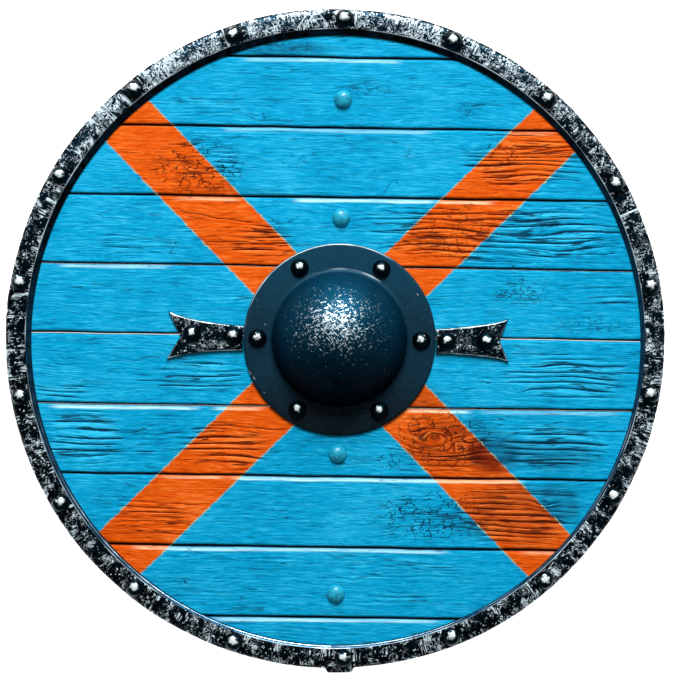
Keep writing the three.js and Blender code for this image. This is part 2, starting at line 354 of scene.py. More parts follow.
class Tree:
    """A material's node tree while it is being wired."""

    def __init__(self, name: str) -> None:
        """Starts an empty tree for a material of this name."""
        self.material = bpy.data.materials.new(name)
        self.material.use_nodes = True
        self.nodes = self.material.node_tree.nodes
        self.links = self.material.node_tree.links
        self.nodes.clear()
        place = self.add("ShaderNodeTexCoord", {}, output="Object")
        self.mm = self.add("ShaderNodeMapping", {"Vector": place, "Scale": (1000.0,) * 3})

    def add(
        self,
        kind: str,
        inputs: dict,
        output: int | str = 0,
        **settings: object,
    ) -> bpy.types.NodeSocket:
        """Adds a node with its settings and links.

        Args:
            kind: The node's type.
            inputs: A value or another node's output for each named or numbered input. The ones
                left out keep the node's own defaults.
            output: The output to hand on.
            **settings: The node's own settings.

        Returns:
            The node's output.
        """
        node = self.nodes.new(kind)
        for name, value in settings.items():
            setattr(node, name, value)
        for name, value in inputs.items():
            if isinstance(value, bpy.types.NodeSocket):
                self.links.new(value, node.inputs[name])
            else:
                node.inputs[name].default_value = value
        return node.outputs[output] if node.outputs else None

    def off_half(self, value: bpy.types.NodeSocket) -> bpy.types.NodeSocket:
        """How far a value lies from one half: near 0 along winding lines when it is a noise."""
        off = self.add("ShaderNodeMath", {0: value, 1: 0.5}, operation="SUBTRACT")
        return self.add("ShaderNodeMath", {0: off}, operation="ABSOLUTE")

    def finish(self, surface: dict) -> bpy.types.Material:
        """Closes the tree with a Principled shader.

        Args:
            surface: The shader's inputs.

        Returns:
            The material.
        """
        shader = self.add("ShaderNodeBsdfPrincipled", surface)
        self.add("ShaderNodeOutputMaterial", {"Surface": shader})
        return self.material


@dataclass(frozen=True)
class PaintTones:
    """One paint colour as it shows on each kind of ground."""

    ridge: int
    flat: int
    hollow: int
    crack: int
    # pale paint on the boards' upper bevels: a painted highlight, partly rubbed paint
    rubbed: int
    stained: int
    # near-black of the seams' bevels and side walls: a dark joint with painted shade
    seam: int


@dataclass(frozen=True)
class PaintedBoards:
    """Thick flat oil paint brushed over weathered sawn pine.

    The brush follows the grain, so the paint lies in fine streaks along it. It stays dark in rifts
    and cracks. The lips below the rifts and the boards' upper edges, which face the lamp, are
    painted pale as highlights, partly paint rubbed through. The seams are painted near-black: a
    dark joint with the groove's shade painted in.

    The attribute layer counts the grain's coarse rings across a board, open is the half width of a
    rift in mm, below 0 where there is none, and the others are shares from 0 to 1.
    """

    blue: PaintTones = PaintTones(
        0x3CCBF4, 0x009FD0, 0x015C84, 0x06324C, 0xC4F0FC, 0x06587A, 0x02101C
    )
    orange: PaintTones = PaintTones(
        0xFF8C3C, 0xE25806, 0x942803, 0x4A1406, 0xFFD2A8, 0x782206, 0x1A0703
    )
    chalk: int = 0xB9BE86
    band_half_width: float = 27.3
    ragged: float = 0.9  # how far the painted line strays
    ring_pitch: float = 5.6  # of the coarse grain, taken as one for all the boards

    def material(self) -> bpy.types.Material:
        """Wires the paint."""
        tree = Tree("oil_paint_brushed_on_sawn_pine")
        add, mm = tree.add, tree.mm
        told = {
            name: add("ShaderNodeAttribute", {}, output="Fac", attribute_name=name)
            for name in (
                "layer", "open", "grain", "worn", "crackled", "crack", "rubbed", "stained", "seam"
            )
        }
        parts = {
            axis: add("ShaderNodeSeparateXYZ", {"Vector": mm}, output=axis) for axis in (
                "X", "Y", "Z"
            )
        }
        rings = add("ShaderNodeMath", {0: told["layer"], 1: self.ring_pitch}, operation="MULTIPLY")
        grain = add("ShaderNodeCombineXYZ", {"X": parts["X"], "Y": rings, "Z": parts["Z"]})

        # Brush marks: long streaks and short ones over them, both bent with the grain.
        noise = {}
        for name, size, detail, distortion in (
            ("long", (44.0, 1.9), 3.0, 0.0),
            ("short", (12.0, 1.3), 4.0, 0.3),
            ("hair", (70.0, 3.6), 1.6, 0.2),
            ("rag", (7.0, 2.0), 3.0, 0.0),
            ("place", (34.0, 9.0), 2.0, 0.0),
        ):
            place = add(
                "ShaderNodeMapping", {"Vector": grain, "Scale": (1 / size[0], 1 / size[1], 0.2)}
            )
            noise[name] = add(
                "ShaderNodeTexNoise",
                {
                    "Vector": place,
                    "Scale": 1.0,
                    "Detail": detail,
                    "Roughness": 0.62,
                    "Distortion": distortion,
                },
            )

        # Rifts: one along each coarse ring where the board has opened. The lip below each rift, which
        # faces the lamp, is painted pale: a painted highlight.
        ring = add("ShaderNodeMath", {0: told["layer"]}, operation="FRACT")
        signed = add(
            "ShaderNodeMath", {0: ring, 1: self.ring_pitch, 2: -0.5 * self.ring_pitch}, operation="MULTIPLY_ADD"
        )
        shake = add("ShaderNodeMath", {0: noise["rag"], 1: 1.1, 2: -0.55}, operation="MULTIPLY_ADD")
        signed = add("ShaderNodeMath", {0: signed, 1: shake}, operation="ADD")
        away = add("ShaderNodeMath", {0: signed}, operation="ABSOLUTE")
        inside = add("ShaderNodeMath", {0: told["open"], 1: away}, operation="SUBTRACT")
        rift = add("ShaderNodeMapRange", {0: inside, 1: -0.15, 2: 0.2})
        lip = add("ShaderNodeMath", {0: signed, 1: told["open"]}, operation="ADD")
        lip = add("ShaderNodeMath", {0: lip, 1: 0.75}, operation="ADD")
        lip = add("ShaderNodeMath", {0: lip}, operation="ABSOLUTE")
        lip = add("ShaderNodeMapRange", {0: lip, 1: 0.85, 2: 0.2, 3: 0.0, 4: 0.75})
        gape = add("ShaderNodeMapRange", {0: told["open"], 1: 0.1, 2: 0.6})
        lip = add("ShaderNodeMath", {0: lip, 1: gape}, operation="MULTIPLY")

        # Hairlines: thin long lines between the rifts, wider the more the board is worn.
        hair = tree.off_half(noise["hair"])
        reach = add("ShaderNodeMapRange", {0: noise["place"], 1: 0.36, 2: 0.62, 3: -0.01, 4: 0.06})
        reach = add("ShaderNodeMath", {0: reach, 1: told["worn"]}, operation="MULTIPLY")
        hair = add("ShaderNodeMath", {0: reach, 1: hair}, operation="SUBTRACT")
        hair = add("ShaderNodeMapRange", {0: hair, 1: -0.004, 2: 0.022, 3: 0.0, 4: 0.85})

        # Flaking: short cracks like broken cell walls.
        stray = add(
            "ShaderNodeTexNoise", {"Vector": mm, "Scale": 1 / 4.5, "Detail": 2.0}, output="Color"
        )
        stray = add("ShaderNodeVectorMath", {0: stray, 1: (0.5, 0.5, 0.5)}, operation="SUBTRACT")
        stray = add("ShaderNodeVectorMath", {0: stray, "Scale": 6.0}, operation="SCALE")
        cells = add("ShaderNodeVectorMath", {0: grain, 1: stray}, operation="ADD")
        cells = add("ShaderNodeMapping", {"Vector": cells, "Scale": (1 / 7.5, 1 / 3.8, 0.2)})
        cells = add(
            "ShaderNodeTexVoronoi",
            {"Vector": cells, "Scale": 1.0},
            output="Distance",
            voronoi_dimensions="2D",
            feature="DISTANCE_TO_EDGE",
        )
        flake = add("ShaderNodeMapRange", {0: cells, 1: 0.12, 2: 0.05})
        some = add("ShaderNodeTexNoise", {"Vector": mm, "Scale": 1 / 7, "Detail": 2.0})
        some = add("ShaderNodeMapRange", {0: some, 1: 0.45, 2: 0.53})
        flake = add("ShaderNodeMath", {0: flake, 1: some}, operation="MULTIPLY")
        flake = add("ShaderNodeMath", {0: flake, 1: told["crackled"]}, operation="MULTIPLY")

        crack = add("ShaderNodeMapRange", {0: told["crack"], 1: 0.42, 2: 0.75})
        opened = add("ShaderNodeMath", {0: hair, 1: flake}, operation="MAXIMUM")
        opened = add("ShaderNodeMath", {0: opened, 1: crack}, operation="MAXIMUM")
        opened = add("ShaderNodeMath", {0: opened, 1: rift}, operation="MAXIMUM")
        cloud = add("ShaderNodeTexNoise", {"Vector": mm, "Scale": 1 / 55, "Detail": 2.0})

        # Ridge or hollow: the carved grain, the streaks and the clouds together, about one half.
        tone = add(
            "ShaderNodeMath", {0: told["grain"], 1: 0.95, 2: -0.975}, operation="MULTIPLY_ADD"
        )
        for name, weight in (("long", 0.85), ("short", 1.5)):
            tone = add(
                "ShaderNodeMath", {0: noise[name], 1: weight, 2: tone}, operation="MULTIPLY_ADD"
            )
        tone = add("ShaderNodeMath", {0: cloud, 1: 0.5, 2: tone}, operation="MULTIPLY_ADD")
        tone = add("ShaderNodeMath", {0: tone, 1: 0.425}, operation="SUBTRACT", use_clamp=True)
        ridge = add("ShaderNodeMapRange", {0: tone, 1: 0.52, 2: 1.0})
        # The ridge share also carries the rifts' painted highlight; the upper bevels' pale share is a painted
        # highlight over rubbed paint; the seam share paints the seams near-black, a dark joint with painted
        # shade.
        shares = {
            "ridge": add("ShaderNodeMath", {0: ridge, 1: lip}, operation="MAXIMUM"),
            "hollow": add("ShaderNodeMapRange", {0: tone, 1: 0.44, 2: 0.0}),
            "stained": told["stained"],
            "rubbed": told["rubbed"],
            "crack": opened,
            "seam": told["seam"],
        }

        # The diagonal cross: two bands at 45 degrees through the boss, with ragged painted edges.
        out = add("ShaderNodeMath", {0: parts["X"], 1: BOSS_CENTRE[0]}, operation="SUBTRACT")
        up = add("ShaderNodeMath", {0: parts["Y"], 1: BOSS_CENTRE[1]}, operation="SUBTRACT")
        spans = []
        for operation in ("ADD", "SUBTRACT"):
            across = add("ShaderNodeMath", {0: out, 1: up}, operation=operation)
            across = add("ShaderNodeMath", {0: across}, operation="ABSOLUTE")
            spans.append(
                add("ShaderNodeMath", {0: across, 1: math.sqrt(0.5)}, operation="MULTIPLY")
            )
        span = add("ShaderNodeMath", {0: spans[0], 1: spans[1]}, operation="MINIMUM")
        rag = add(
            "ShaderNodeMapRange",
            {0: noise["rag"], 1: 0.25, 2: 0.75, 3: -self.ragged, 4: self.ragged},
        )
        span = add("ShaderNodeMath", {0: span, 1: rag}, operation="ADD")
        half = self.band_half_width
        band = add("ShaderNodeMapRange", {0: span, 1: half + 0.3, 2: half - 0.3})

        # Where the orange was laid over the blue a thin chalky line is left along the edge.
        line = add("ShaderNodeMath", {0: span, 1: half + 0.4}, operation="SUBTRACT")
        line = add("ShaderNodeMath", {0: line}, operation="ABSOLUTE")
        line = add("ShaderNodeMapRange", {0: line, 1: 0.95, 2: 0.3})
        gaps = add("ShaderNodeTexNoise", {"Vector": mm, "Scale": 1 / 8, "Detail": 3.0})
        gaps = add("ShaderNodeMapRange", {0: gaps, 1: 0.4, 2: 0.62, 3: 0.05, 4: 0.75})
        line = add("ShaderNodeMath", {0: line, 1: gaps}, operation="MULTIPLY")

        layers = []
        for paint in (self.blue, self.orange):
            colour = linear(paint.flat)
            for name, share in shares.items():
                colour = add(
                    "ShaderNodeMix",
                    {0: share, 6: colour, 7: linear(getattr(paint, name))},
                    **COLOUR_MIX,
                )
            layers.append(colour)
        colour = add("ShaderNodeMix", {0: band, 6: layers[0], 7: layers[1]}, **COLOUR_MIX)
        colour = add("ShaderNodeMix", {0: line, 6: colour, 7: linear(self.chalk)}, **COLOUR_MIX)

        # Relief too fine to carve: the short streaks, the hairlines and the flakes.
        height = add(
            "ShaderNodeMath", {0: opened, 1: -0.7, 2: noise["short"]}, operation="MULTIPLY_ADD"
        )
        bump = add("ShaderNodeBump", {"Strength": 0.8, "Distance": 0.0006, "Height": height})
        rough = add("ShaderNodeMapRange", {0: noise["long"], 1: 0.3, 2: 0.7, 3: 0.62, 4: 0.5})
        return tree.finish(
            {"Base Color": colour, "Roughness": rough, "Specular IOR Level": 0.05, "Normal": bump}
        )


@dataclass(frozen=True)
class BareWood:
    """Sawn wood left unpainted, greyed by handling: straight darker grain on a warm brown.

    The grain runs along one axis of the piece.
    """

    name: str
    light: int
    dark: int
    grain_scale: tuple[float, float, float]
    roughness: float = 0.72

    def material(self) -> bpy.types.Material:
        """Wires the wood."""
        tree = Tree(self.name)
        place = tree.add("ShaderNodeMapping", {"Vector": tree.mm, "Scale": self.grain_scale})
        grain = tree.add(
            "ShaderNodeTexNoise",
            {"Vector": place, "Scale": 1.0, "Detail": 5.0, "Roughness": 0.62, "Distortion": 0.4},
        )
        share = tree.add("ShaderNodeMapRange", {0: grain, 1: 0.34, 2: 0.66})
        colour = tree.add(
            "ShaderNodeMix", {0: share, 6: linear(self.dark), 7: linear(self.light)}, **COLOUR_MIX
        )
        cloud = tree.add("ShaderNodeTexNoise", {"Vector": tree.mm, "Scale": 1 / 40, "Detail": 2.0})
        cloud = tree.add("ShaderNodeMapRange", {0: cloud, 1: 0.35, 2: 0.7, 3: 0.0, 4: 0.4})
        colour = tree.add(
            "ShaderNodeMix", {0: cloud, 6: colour, 7: linear(self.dark)}, **COLOUR_MIX
        )
        bump = tree.add("ShaderNodeBump", {"Strength": 0.5, "Distance": 0.0004, "Height": grain})
        return tree.finish(
            {
                "Base Color": colour,
                "Roughness": self.roughness,
                "Specular IOR Level": 0.35,
                "Normal": bump,
            }
        )


@dataclass(frozen=True)
class BlackenedIron:
    """Wrought iron hammered over, blackened in oil, and rubbed bright again on its high spots.

    Low ground keeps the dark oxide. The hammer's texture is rubbed to silver in thin winding lines,
    which one attribute makes dense or sparse. The same attribute mixes the ground towards ground_lit,
    its lit copy, so where it is set high it paints light as well as rubbed metal. Worn edges have
    their own attribute, worn.
    """

    name: str
    ground: int
    ground_lit: int
    bright: int = 0xDDF2FC
    line_pitch: float = 3.7
    line_share: float = 0.06
    speck_pitch: float = 2.1
    speck_share: float = 0.2
    radial: bool = False
    roughness: float = 0.42

    def material(self) -> bpy.types.Material:
        """Wires the iron."""
        tree = Tree(self.name)
        add, mm = tree.add, tree.mm
        silver_and_light = add("ShaderNodeAttribute", {}, output="Fac", attribute_name="silver_and_light")
        worn = add("ShaderNodeAttribute", {}, output="Fac", attribute_name="worn")
        maze = add(
            "ShaderNodeTexNoise",
            {
                "Vector": mm,
                "Scale": 1 / self.line_pitch,
                "Detail": 1.4,
                "Roughness": 0.55,
                "Distortion": 1.0,
            },
        )
        ridge = tree.off_half(maze)
        patch = add("ShaderNodeTexNoise", {"Vector": mm, "Scale": 1 / 11, "Detail": 3.0})
        patch = add("ShaderNodeMapRange", {0: patch, 1: 0.35, 2: 0.62, 3: -0.55, 4: 0.45})
        reach = add("ShaderNodeMath", {0: silver_and_light, 1: patch}, operation="ADD")
        reach = add("ShaderNodeMath", {0: reach, 1: self.line_share}, operation="MULTIPLY")
        lines = add("ShaderNodeMath", {0: reach, 1: ridge}, operation="SUBTRACT")
        lines = add("ShaderNodeMapRange", {0: lines, 1: 0.0, 2: 0.018})
        speck = add(
            "ShaderNodeTexNoise", {"Vector": mm, "Scale": 1 / self.speck_pitch, "Detail": 1.0}
        )
        bar = 0.5 + 0.2 * (1 - self.speck_share)
        speck = add("ShaderNodeMapRange", {0: speck, 1: bar, 2: bar + 0.06, 3: 0.0, 4: 0.9})
        bright = add("ShaderNodeMath", {0: lines, 1: speck}, operation="MAXIMUM")
        if self.radial:
            # Strokes of the file and of knocks, straight across the band.
            flat = add("ShaderNodeVectorMath", {0: mm, 1: (1.0, 1.0, 0.0)}, operation="MULTIPLY")
            heading = add("ShaderNodeVectorMath", {0: flat}, operation="NORMALIZE")
            around = add(
                "ShaderNodeVectorMath",
                {0: heading, "Scale": SHIELD_RADIUS / 3.0},
                operation="SCALE",
            )
            length = add("ShaderNodeVectorMath", {0: flat}, output="Value", operation="LENGTH")
            rise = add("ShaderNodeMath", {0: length, 1: 1 / 26}, operation="MULTIPLY")
            rise = add("ShaderNodeCombineXYZ", {"Z": rise})
            polar = add("ShaderNodeVectorMath", {0: around, 1: rise}, operation="ADD")
            cuts = add(
                "ShaderNodeTexNoise",
                {"Vector": polar, "Scale": 1.0, "Detail": 2.0, "Distortion": 0.3},
            )
            cuts = add("ShaderNodeMapRange", {0: tree.off_half(cuts), 1: 0.055, 2: 0.025})
            where = add("ShaderNodeTexNoise", {"Vector": mm, "Scale": 1 / 9, "Detail": 2.0})
            where = add("ShaderNodeMapRange", {0: where, 1: 0.54, 2: 0.6, 3: 0.0, 4: 0.95})
            cuts = add("ShaderNodeMath", {0: cuts, 1: where}, operation="MULTIPLY")
            bright = add("ShaderNodeMath", {0: bright, 1: cuts}, operation="MAXIMUM")
        rubbed = add("ShaderNodeMapRange", {0: worn, 1: 0.35, 2: 0.7})
        bright = add("ShaderNodeMath", {0: bright, 1: rubbed}, operation="MAXIMUM", use_clamp=True)
        # The ground is mixed towards its lit copy where the attribute is high: painted light on the rim's upper
        # half.
        ground = add(
            "ShaderNodeMix",
            {0: silver_and_light, 6: linear(self.ground), 7: linear(self.ground_lit)},
            **COLOUR_MIX,
        )
        colour = add("ShaderNodeMix", {0: bright, 6: ground, 7: linear(self.bright)}, **COLOUR_MIX)
        metal = add("ShaderNodeMapRange", {0: bright, 3: 1.0, 4: 0.25})
        rough = add("ShaderNodeMapRange", {0: bright, 3: self.roughness, 4: 0.36})
        bump = add("ShaderNodeBump", {"Strength": 0.7, "Distance": 0.0004, "Height": maze})
        return tree.finish(
            {"Base Color": colour, "Metallic": metal, "Roughness": rough, "Normal": bump}
        )


@dataclass(frozen=True)
class RolledLip:
    """The rim's inner lip: iron rolled smooth over a bar, painted black above and blue below, where it faces
    the lamp: painted light.
    """

    black: int = 0x04080E
    blued_lit: int = 0x1F587A
    bright: int = 0xCFE6F2

    def material(self) -> bpy.types.Material:
        """Wires the lip."""
        tree = Tree("wrought_iron_rolled_lip_lit_below")
        add, mm = tree.add, tree.mm
        # The blue share paints the lip lit where it faces the lamp.
        blued_lit = add("ShaderNodeAttribute", {}, output="Fac", attribute_name="blued_lit")
        mottle = add("ShaderNodeTexNoise", {"Vector": mm, "Scale": 1 / 7, "Detail": 3.0})
        share = add("ShaderNodeMath", {0: mottle, 1: 0.8, 2: -0.4}, operation="MULTIPLY_ADD")
        share = add("ShaderNodeMath", {0: blued_lit, 1: share}, operation="ADD", use_clamp=True)
        colour = add(
            "ShaderNodeMix", {0: share, 6: linear(self.black), 7: linear(self.blued_lit)}, **COLOUR_MIX
        )
        # The worn attribute brings in the bright line painted along the lower half of the lip, a painted
        # highlight.
        worn = add("ShaderNodeAttribute", {}, output="Fac", attribute_name="worn")
        worn = add("ShaderNodeMapRange", {0: worn, 1: 0.35, 2: 0.7})
        colour = add("ShaderNodeMix", {0: worn, 6: colour, 7: linear(self.bright)}, **COLOUR_MIX)
        rough = add("ShaderNodeMapRange", {0: mottle, 1: 0.35, 2: 0.65, 3: 0.24, 4: 0.4})
        bump = add("ShaderNodeBump", {"Strength": 0.3, "Distance": 0.0004, "Height": mottle})
        return tree.finish(
            {"Base Color": colour, "Metallic": 0.9, "Roughness": rough, "Normal": bump}
        )


@dataclass(frozen=True)
class PlanishedIron:
    """The boss's flange: iron planished flat, blued by heat and oiled, painted dark below and lit above, with
    painted highlights on its upper edges; bare in its nicks.
    """

    shaded: int = 0x020C12
    blued_lit: int = 0x083C52
    bright: int = 0xDCECF2

    def material(self) -> bpy.types.Material:
        """Wires the flange."""
        tree = Tree("wrought_iron_planished_and_blued")
        add, mm = tree.add, tree.mm
        silver_and_light = add("ShaderNodeAttribute", {}, output="Fac", attribute_name="silver_and_light")
        worn = add("ShaderNodeAttribute", {}, output="Fac", attribute_name="worn")
        mottle = add(
            "ShaderNodeTexNoise", {"Vector": mm, "Scale": 1 / 6, "Detail": 4.0, "Roughness": 0.6}
        )
        tone = add("ShaderNodeMath", {0: mottle, 1: 0.5, 2: -0.25}, operation="MULTIPLY_ADD")
        tone = add("ShaderNodeMath", {0: silver_and_light, 1: tone}, operation="ADD", use_clamp=True)
        colour = add(
            "ShaderNodeMix", {0: tone, 6: linear(self.shaded), 7: linear(self.blued_lit)}, **COLOUR_MIX
        )
        fleck = add("ShaderNodeTexNoise", {"Vector": mm, "Scale": 1 / 2.2, "Detail": 2.0})
        fleck = add("ShaderNodeMapRange", {0: fleck, 1: 0.7, 2: 0.78, 3: 0.0, 4: 0.25})
        rubbed = add("ShaderNodeMapRange", {0: worn, 1: 0.45, 2: 0.8})
        bare = add("ShaderNodeMath", {0: fleck, 1: rubbed}, operation="MAXIMUM")
        colour = add("ShaderNodeMix", {0: bare, 6: colour, 7: linear(self.bright)}, **COLOUR_MIX)
        bump = add("ShaderNodeBump", {"Strength": 0.35, "Distance": 0.0004, "Height": mottle})
        return tree.finish(
            {
                "Base Color": colour,
                "Metallic": 0.25,
                "Roughness": 0.5,
                "Specular IOR Level": 0.15,
                "Normal": bump,
            }
        )


@dataclass(frozen=True)
class ForgedHead:
    """Forged rivet heads: black scale round the foot, the crown painted bright a little above its middle: a
    painted highlight over worn metal.
    """

    ground: int = 0x0C2028
    bright: int = 0xE6F2F4

    def material(self) -> bpy.types.Material:
        """Wires the rivet heads."""
        tree = Tree("wrought_iron_forged_rivet_heads")
        add, mm = tree.add, tree.mm
        silver_and_light = add("ShaderNodeAttribute", {}, output="Fac", attribute_name="silver_and_light")
        scale = add(
            "ShaderNodeTexNoise", {"Vector": mm, "Scale": 1 / 3.2, "Detail": 2.0, "Roughness": 0.6}
        )
        worn = add("ShaderNodeMath", {0: scale, 1: 1.6, 2: -0.8}, operation="MULTIPLY_ADD")
        worn = add("ShaderNodeMath", {0: worn, 1: silver_and_light}, operation="ADD")
        rubbed = add("ShaderNodeMapRange", {0: worn, 1: 0.4, 2: 0.75})
        colour = add(
            "ShaderNodeMix", {0: rubbed, 6: linear(self.ground), 7: linear(self.bright)}, **COLOUR_MIX
        )
        metal = add("ShaderNodeMapRange", {0: rubbed, 3: 1.0, 4: 0.3})
        bump = add("ShaderNodeBump", {"Strength": 0.4, "Distance": 0.0004, "Height": scale})
        return tree.finish(
            {"Base Color": colour, "Metallic": metal, "Roughness": 0.34, "Normal": bump}
        )


@dataclass(frozen=True)
class BurnishedDome:
    """The boss's dome: blackened iron, pitted by the hammer and burnished in slanting strokes.

    The strokes are painted brightest round the crown's upper side, where the lamp's highlight
    falls: a painted highlight. The iron is painted blue above and black below, as light from the
    top shows it: painted light.
    """

    scale: int = 0x04090C
    blued_lit: int = 0x0A4660
    bright: int = 0xDDF1F8
    stroke: tuple[float, float] = (4.6, 1.35)  # length and spacing of the strokes
    highlight_at: Spot = (1.0, 13.0)
    highlight_reach: Spot = (62.0, 47.0)

    def material(self) -> bpy.types.Material:
        """Wires the dome."""
        tree = Tree("blackened_iron_burnished_dome")
        add, mm = tree.add, tree.mm
        slant = add(
            "ShaderNodeMapping", {
                "Vector": mm, "Rotation": (0.0, 0.0, math.radians(52.0)), "Scale": (1.0,) * 3
            }
        )
        strokes = []
        for turn, seed in ((0.0, 0.0), (math.radians(-75.0), 40.0)):
            place = add(
                "ShaderNodeMapping",
                {"Vector": slant, "Rotation": (0.0, 0.0, turn), "Location": (seed, seed, seed)},
            )
            place = add(
                "ShaderNodeMapping",
                {
                    "Vector": place,
                    "Scale": (1 / self.stroke[0], 1 / self.stroke[1], 1 / self.stroke[1]),
                },
            )
            strokes.append(
                add(
                    "ShaderNodeTexNoise",
                    {
                        "Vector": place,
                        "Scale": 1.0,
                        "Detail": 2.0,
                        "Roughness": 0.55,
                        "Distortion": 0.6,
                    },
                )
            )
        texture = add("ShaderNodeMath", {0: strokes[0], 1: strokes[1]}, operation="MAXIMUM")
        # Painted highlight: the strokes are brightest near the spot where the lamp's reflection falls.
        offset = add(
            "ShaderNodeVectorMath", {0: mm, 1: (*self.highlight_at, 0.0)}, operation="SUBTRACT"
        )
        shrink = (1 / self.highlight_reach[0], 1 / self.highlight_reach[1], 0.0)
        offset = add("ShaderNodeVectorMath", {0: offset, 1: shrink}, operation="MULTIPLY")
        away = add("ShaderNodeVectorMath", {0: offset}, output="Value", operation="LENGTH")
        near = add("ShaderNodeMapRange", {0: away, 1: 1.0, 2: 0.1})
        bar = add("ShaderNodeMapRange", {0: near, 3: 0.75, 4: 0.545})
        over = add("ShaderNodeMath", {0: texture, 1: bar}, operation="SUBTRACT")
        bright = add("ShaderNodeMapRange", {0: over, 1: 0.0, 2: 0.05, 3: 0.0, 4: 0.9})
        # Painted light: the ground goes from black at the bottom to blue at the top.
        height = add("ShaderNodeSeparateXYZ", {"Vector": mm}, output="Y")
        mottle = add("ShaderNodeTexNoise", {"Vector": mm, "Scale": 1 / 9, "Detail": 4.0})
        height = add("ShaderNodeMath", {0: mottle, 1: 40.0, 2: height}, operation="MULTIPLY_ADD")
        blued_lit = add("ShaderNodeMapRange", {0: height, 1: -35.0, 2: 85.0})
        ground = add(
            "ShaderNodeMix", {0: blued_lit, 6: linear(self.scale), 7: linear(self.blued_lit)}, **COLOUR_MIX
        )
        colour = add("ShaderNodeMix", {0: bright, 6: ground, 7: linear(self.bright)}, **COLOUR_MIX)
        bump = add("ShaderNodeBump", {"Strength": 0.8, "Distance": 0.0005, "Height": texture})
        rough = add("ShaderNodeMapRange", {0: bright, 3: 0.46, 4: 0.38})
        return tree.finish(
            {
                "Base Color": colour,
                "Metallic": 0.65,
                "Roughness": rough,
                "Specular IOR Level": 0.1,
                "Specular Tint": linear(0x5A7C8C),
                "Normal": bump,
            }
        )


@dataclass(frozen=True)
class PaintedIron:
    """Forged iron rivet heads painted over with the boards: thick glossy blue-green paint."""

    colour: int = 0x1BA7C8
    chipped: int = 0x0A5A7A

    def material(self) -> bpy.types.Material:
        """Wires the painted rivet heads."""
        tree = Tree("oil_paint_on_forged_iron")
        mottle = tree.add("ShaderNodeTexNoise", {"Vector": tree.mm, "Scale": 1 / 3, "Detail": 3.0})
        share = tree.add("ShaderNodeMapRange", {0: mottle, 1: 0.45, 2: 0.7, 3: 0.0, 4: 0.7})
        colour = tree.add(
            "ShaderNodeMix", {0: share, 6: linear(self.colour), 7: linear(self.chipped)}, **COLOUR_MIX
        )
        bump = tree.add("ShaderNodeBump", {"Strength": 0.5, "Distance": 0.0004, "Height": mottle})
        return tree.finish({"Base Color": colour, "Roughness": 0.32, "Normal": bump})


# ---- Planks -------------------------------------------------------------------------------------


class Wear(Enum):
    """How a patch of board has weathered."""

    RIPPLED = "raised soft grain"
    LINED = "long cracks along the grain"
    CRACKLED = "short broken cracks"


@dataclass(frozen=True)
class Patch:
    """A weathered patch of board: an oval round a spot, in mm."""

    x: float
    y: float
    reach: float
    height: float
    strength: float
    wear: Wear = Wear.RIPPLED

    def share(self, x: Array, y: Array) -> Array:
        """How far each place lies in the patch: 1 in the middle, 0 outside."""
        away = np.hypot((x - self.x) / self.reach, (y - self.y) / self.height)
        return smooth(1.25 - away, 0.0, 0.7)


@dataclass(frozen=True)
class Crack:
    """A crack or scratch that starts at a spot and runs off at an angle, in mm and degrees."""

    x: float
    y: float
    length: float
    angle: float = 0.0
    half_width: float = 0.5
    depth: float = 0.7
    sway: float = 0.5
    phase: float = 0.0

    def bite(self, x: Array, y: Array) -> Array:
        """How deep the crack is at each place, from 0 to 1 of its depth."""
        turn = math.radians(self.angle)
        run = (x - self.x) * math.cos(turn) + (y - self.y) * math.sin(turn)
        off = (y - self.y) * math.cos(turn) - (x - self.x) * math.sin(turn)
        close = (run > 0) & (run < self.length) & (np.abs(off) < self.sway + self.half_width * 3)
        bite = np.zeros_like(x)
        if not close.any():
            return bite
        run, off = run[close], off[close]
        wander = 0.6 * np.sin(run / 11.0 + self.phase) + 0.4 * np.sin(run / 4.3 + self.phase * 2.7)
        taper = np.clip(np.minimum(run, self.length - run) / min(6.0, self.length / 3), 0, 1) ** 0.6
        # A steep crack is no narrower than the board's columns, so that it stays whole.
        half_width = max(self.half_width, 1.15 * abs(math.sin(turn)))
        away = (off - wander * self.sway) / (half_width * (0.5 + 0.5 * taper))
        bite[close] = np.exp(-(away**2)) * taper
        return bite


@dataclass(frozen=True)
class CrackHabit:
    """How cracks come in one kind of wear. Lengths in mm, angles in degrees."""

    area_each: float
    length: tuple[float, float]
    lean: float
    sway: float
    depth: float
    half_width: float
    cross_share: float = 0.0


HABITS = {
    Wear.RIPPLED: CrackHabit(900.0, (25.0, 80.0), 0.6, 0.5, 0.35, 0.5),
    Wear.LINED: CrackHabit(600.0, (30.0, 90.0), 0.8, 0.6, 0.6, 0.5),
    Wear.CRACKLED: CrackHabit(160.0, (4.0, 16.0), 9.0, 0.8, 0.5, 0.5, 0.2),
}


@dataclass(frozen=True)
class Knot:
    """A knot, round which the grain turns in rings. Its place and reach are in mm."""

    x: float
    y: float
    reach: float
    stretch: float = 1.7

    def bend(self, x: Array, y: Array, grain_y: Array) -> Array:
        """Turns the grain's height round the knot."""
        away = np.hypot((x - self.x) / self.stretch, y - self.y)
        share = np.exp(-((away / self.reach) ** 2))
        return grain_y * (1 - share) + (self.y + away) * share


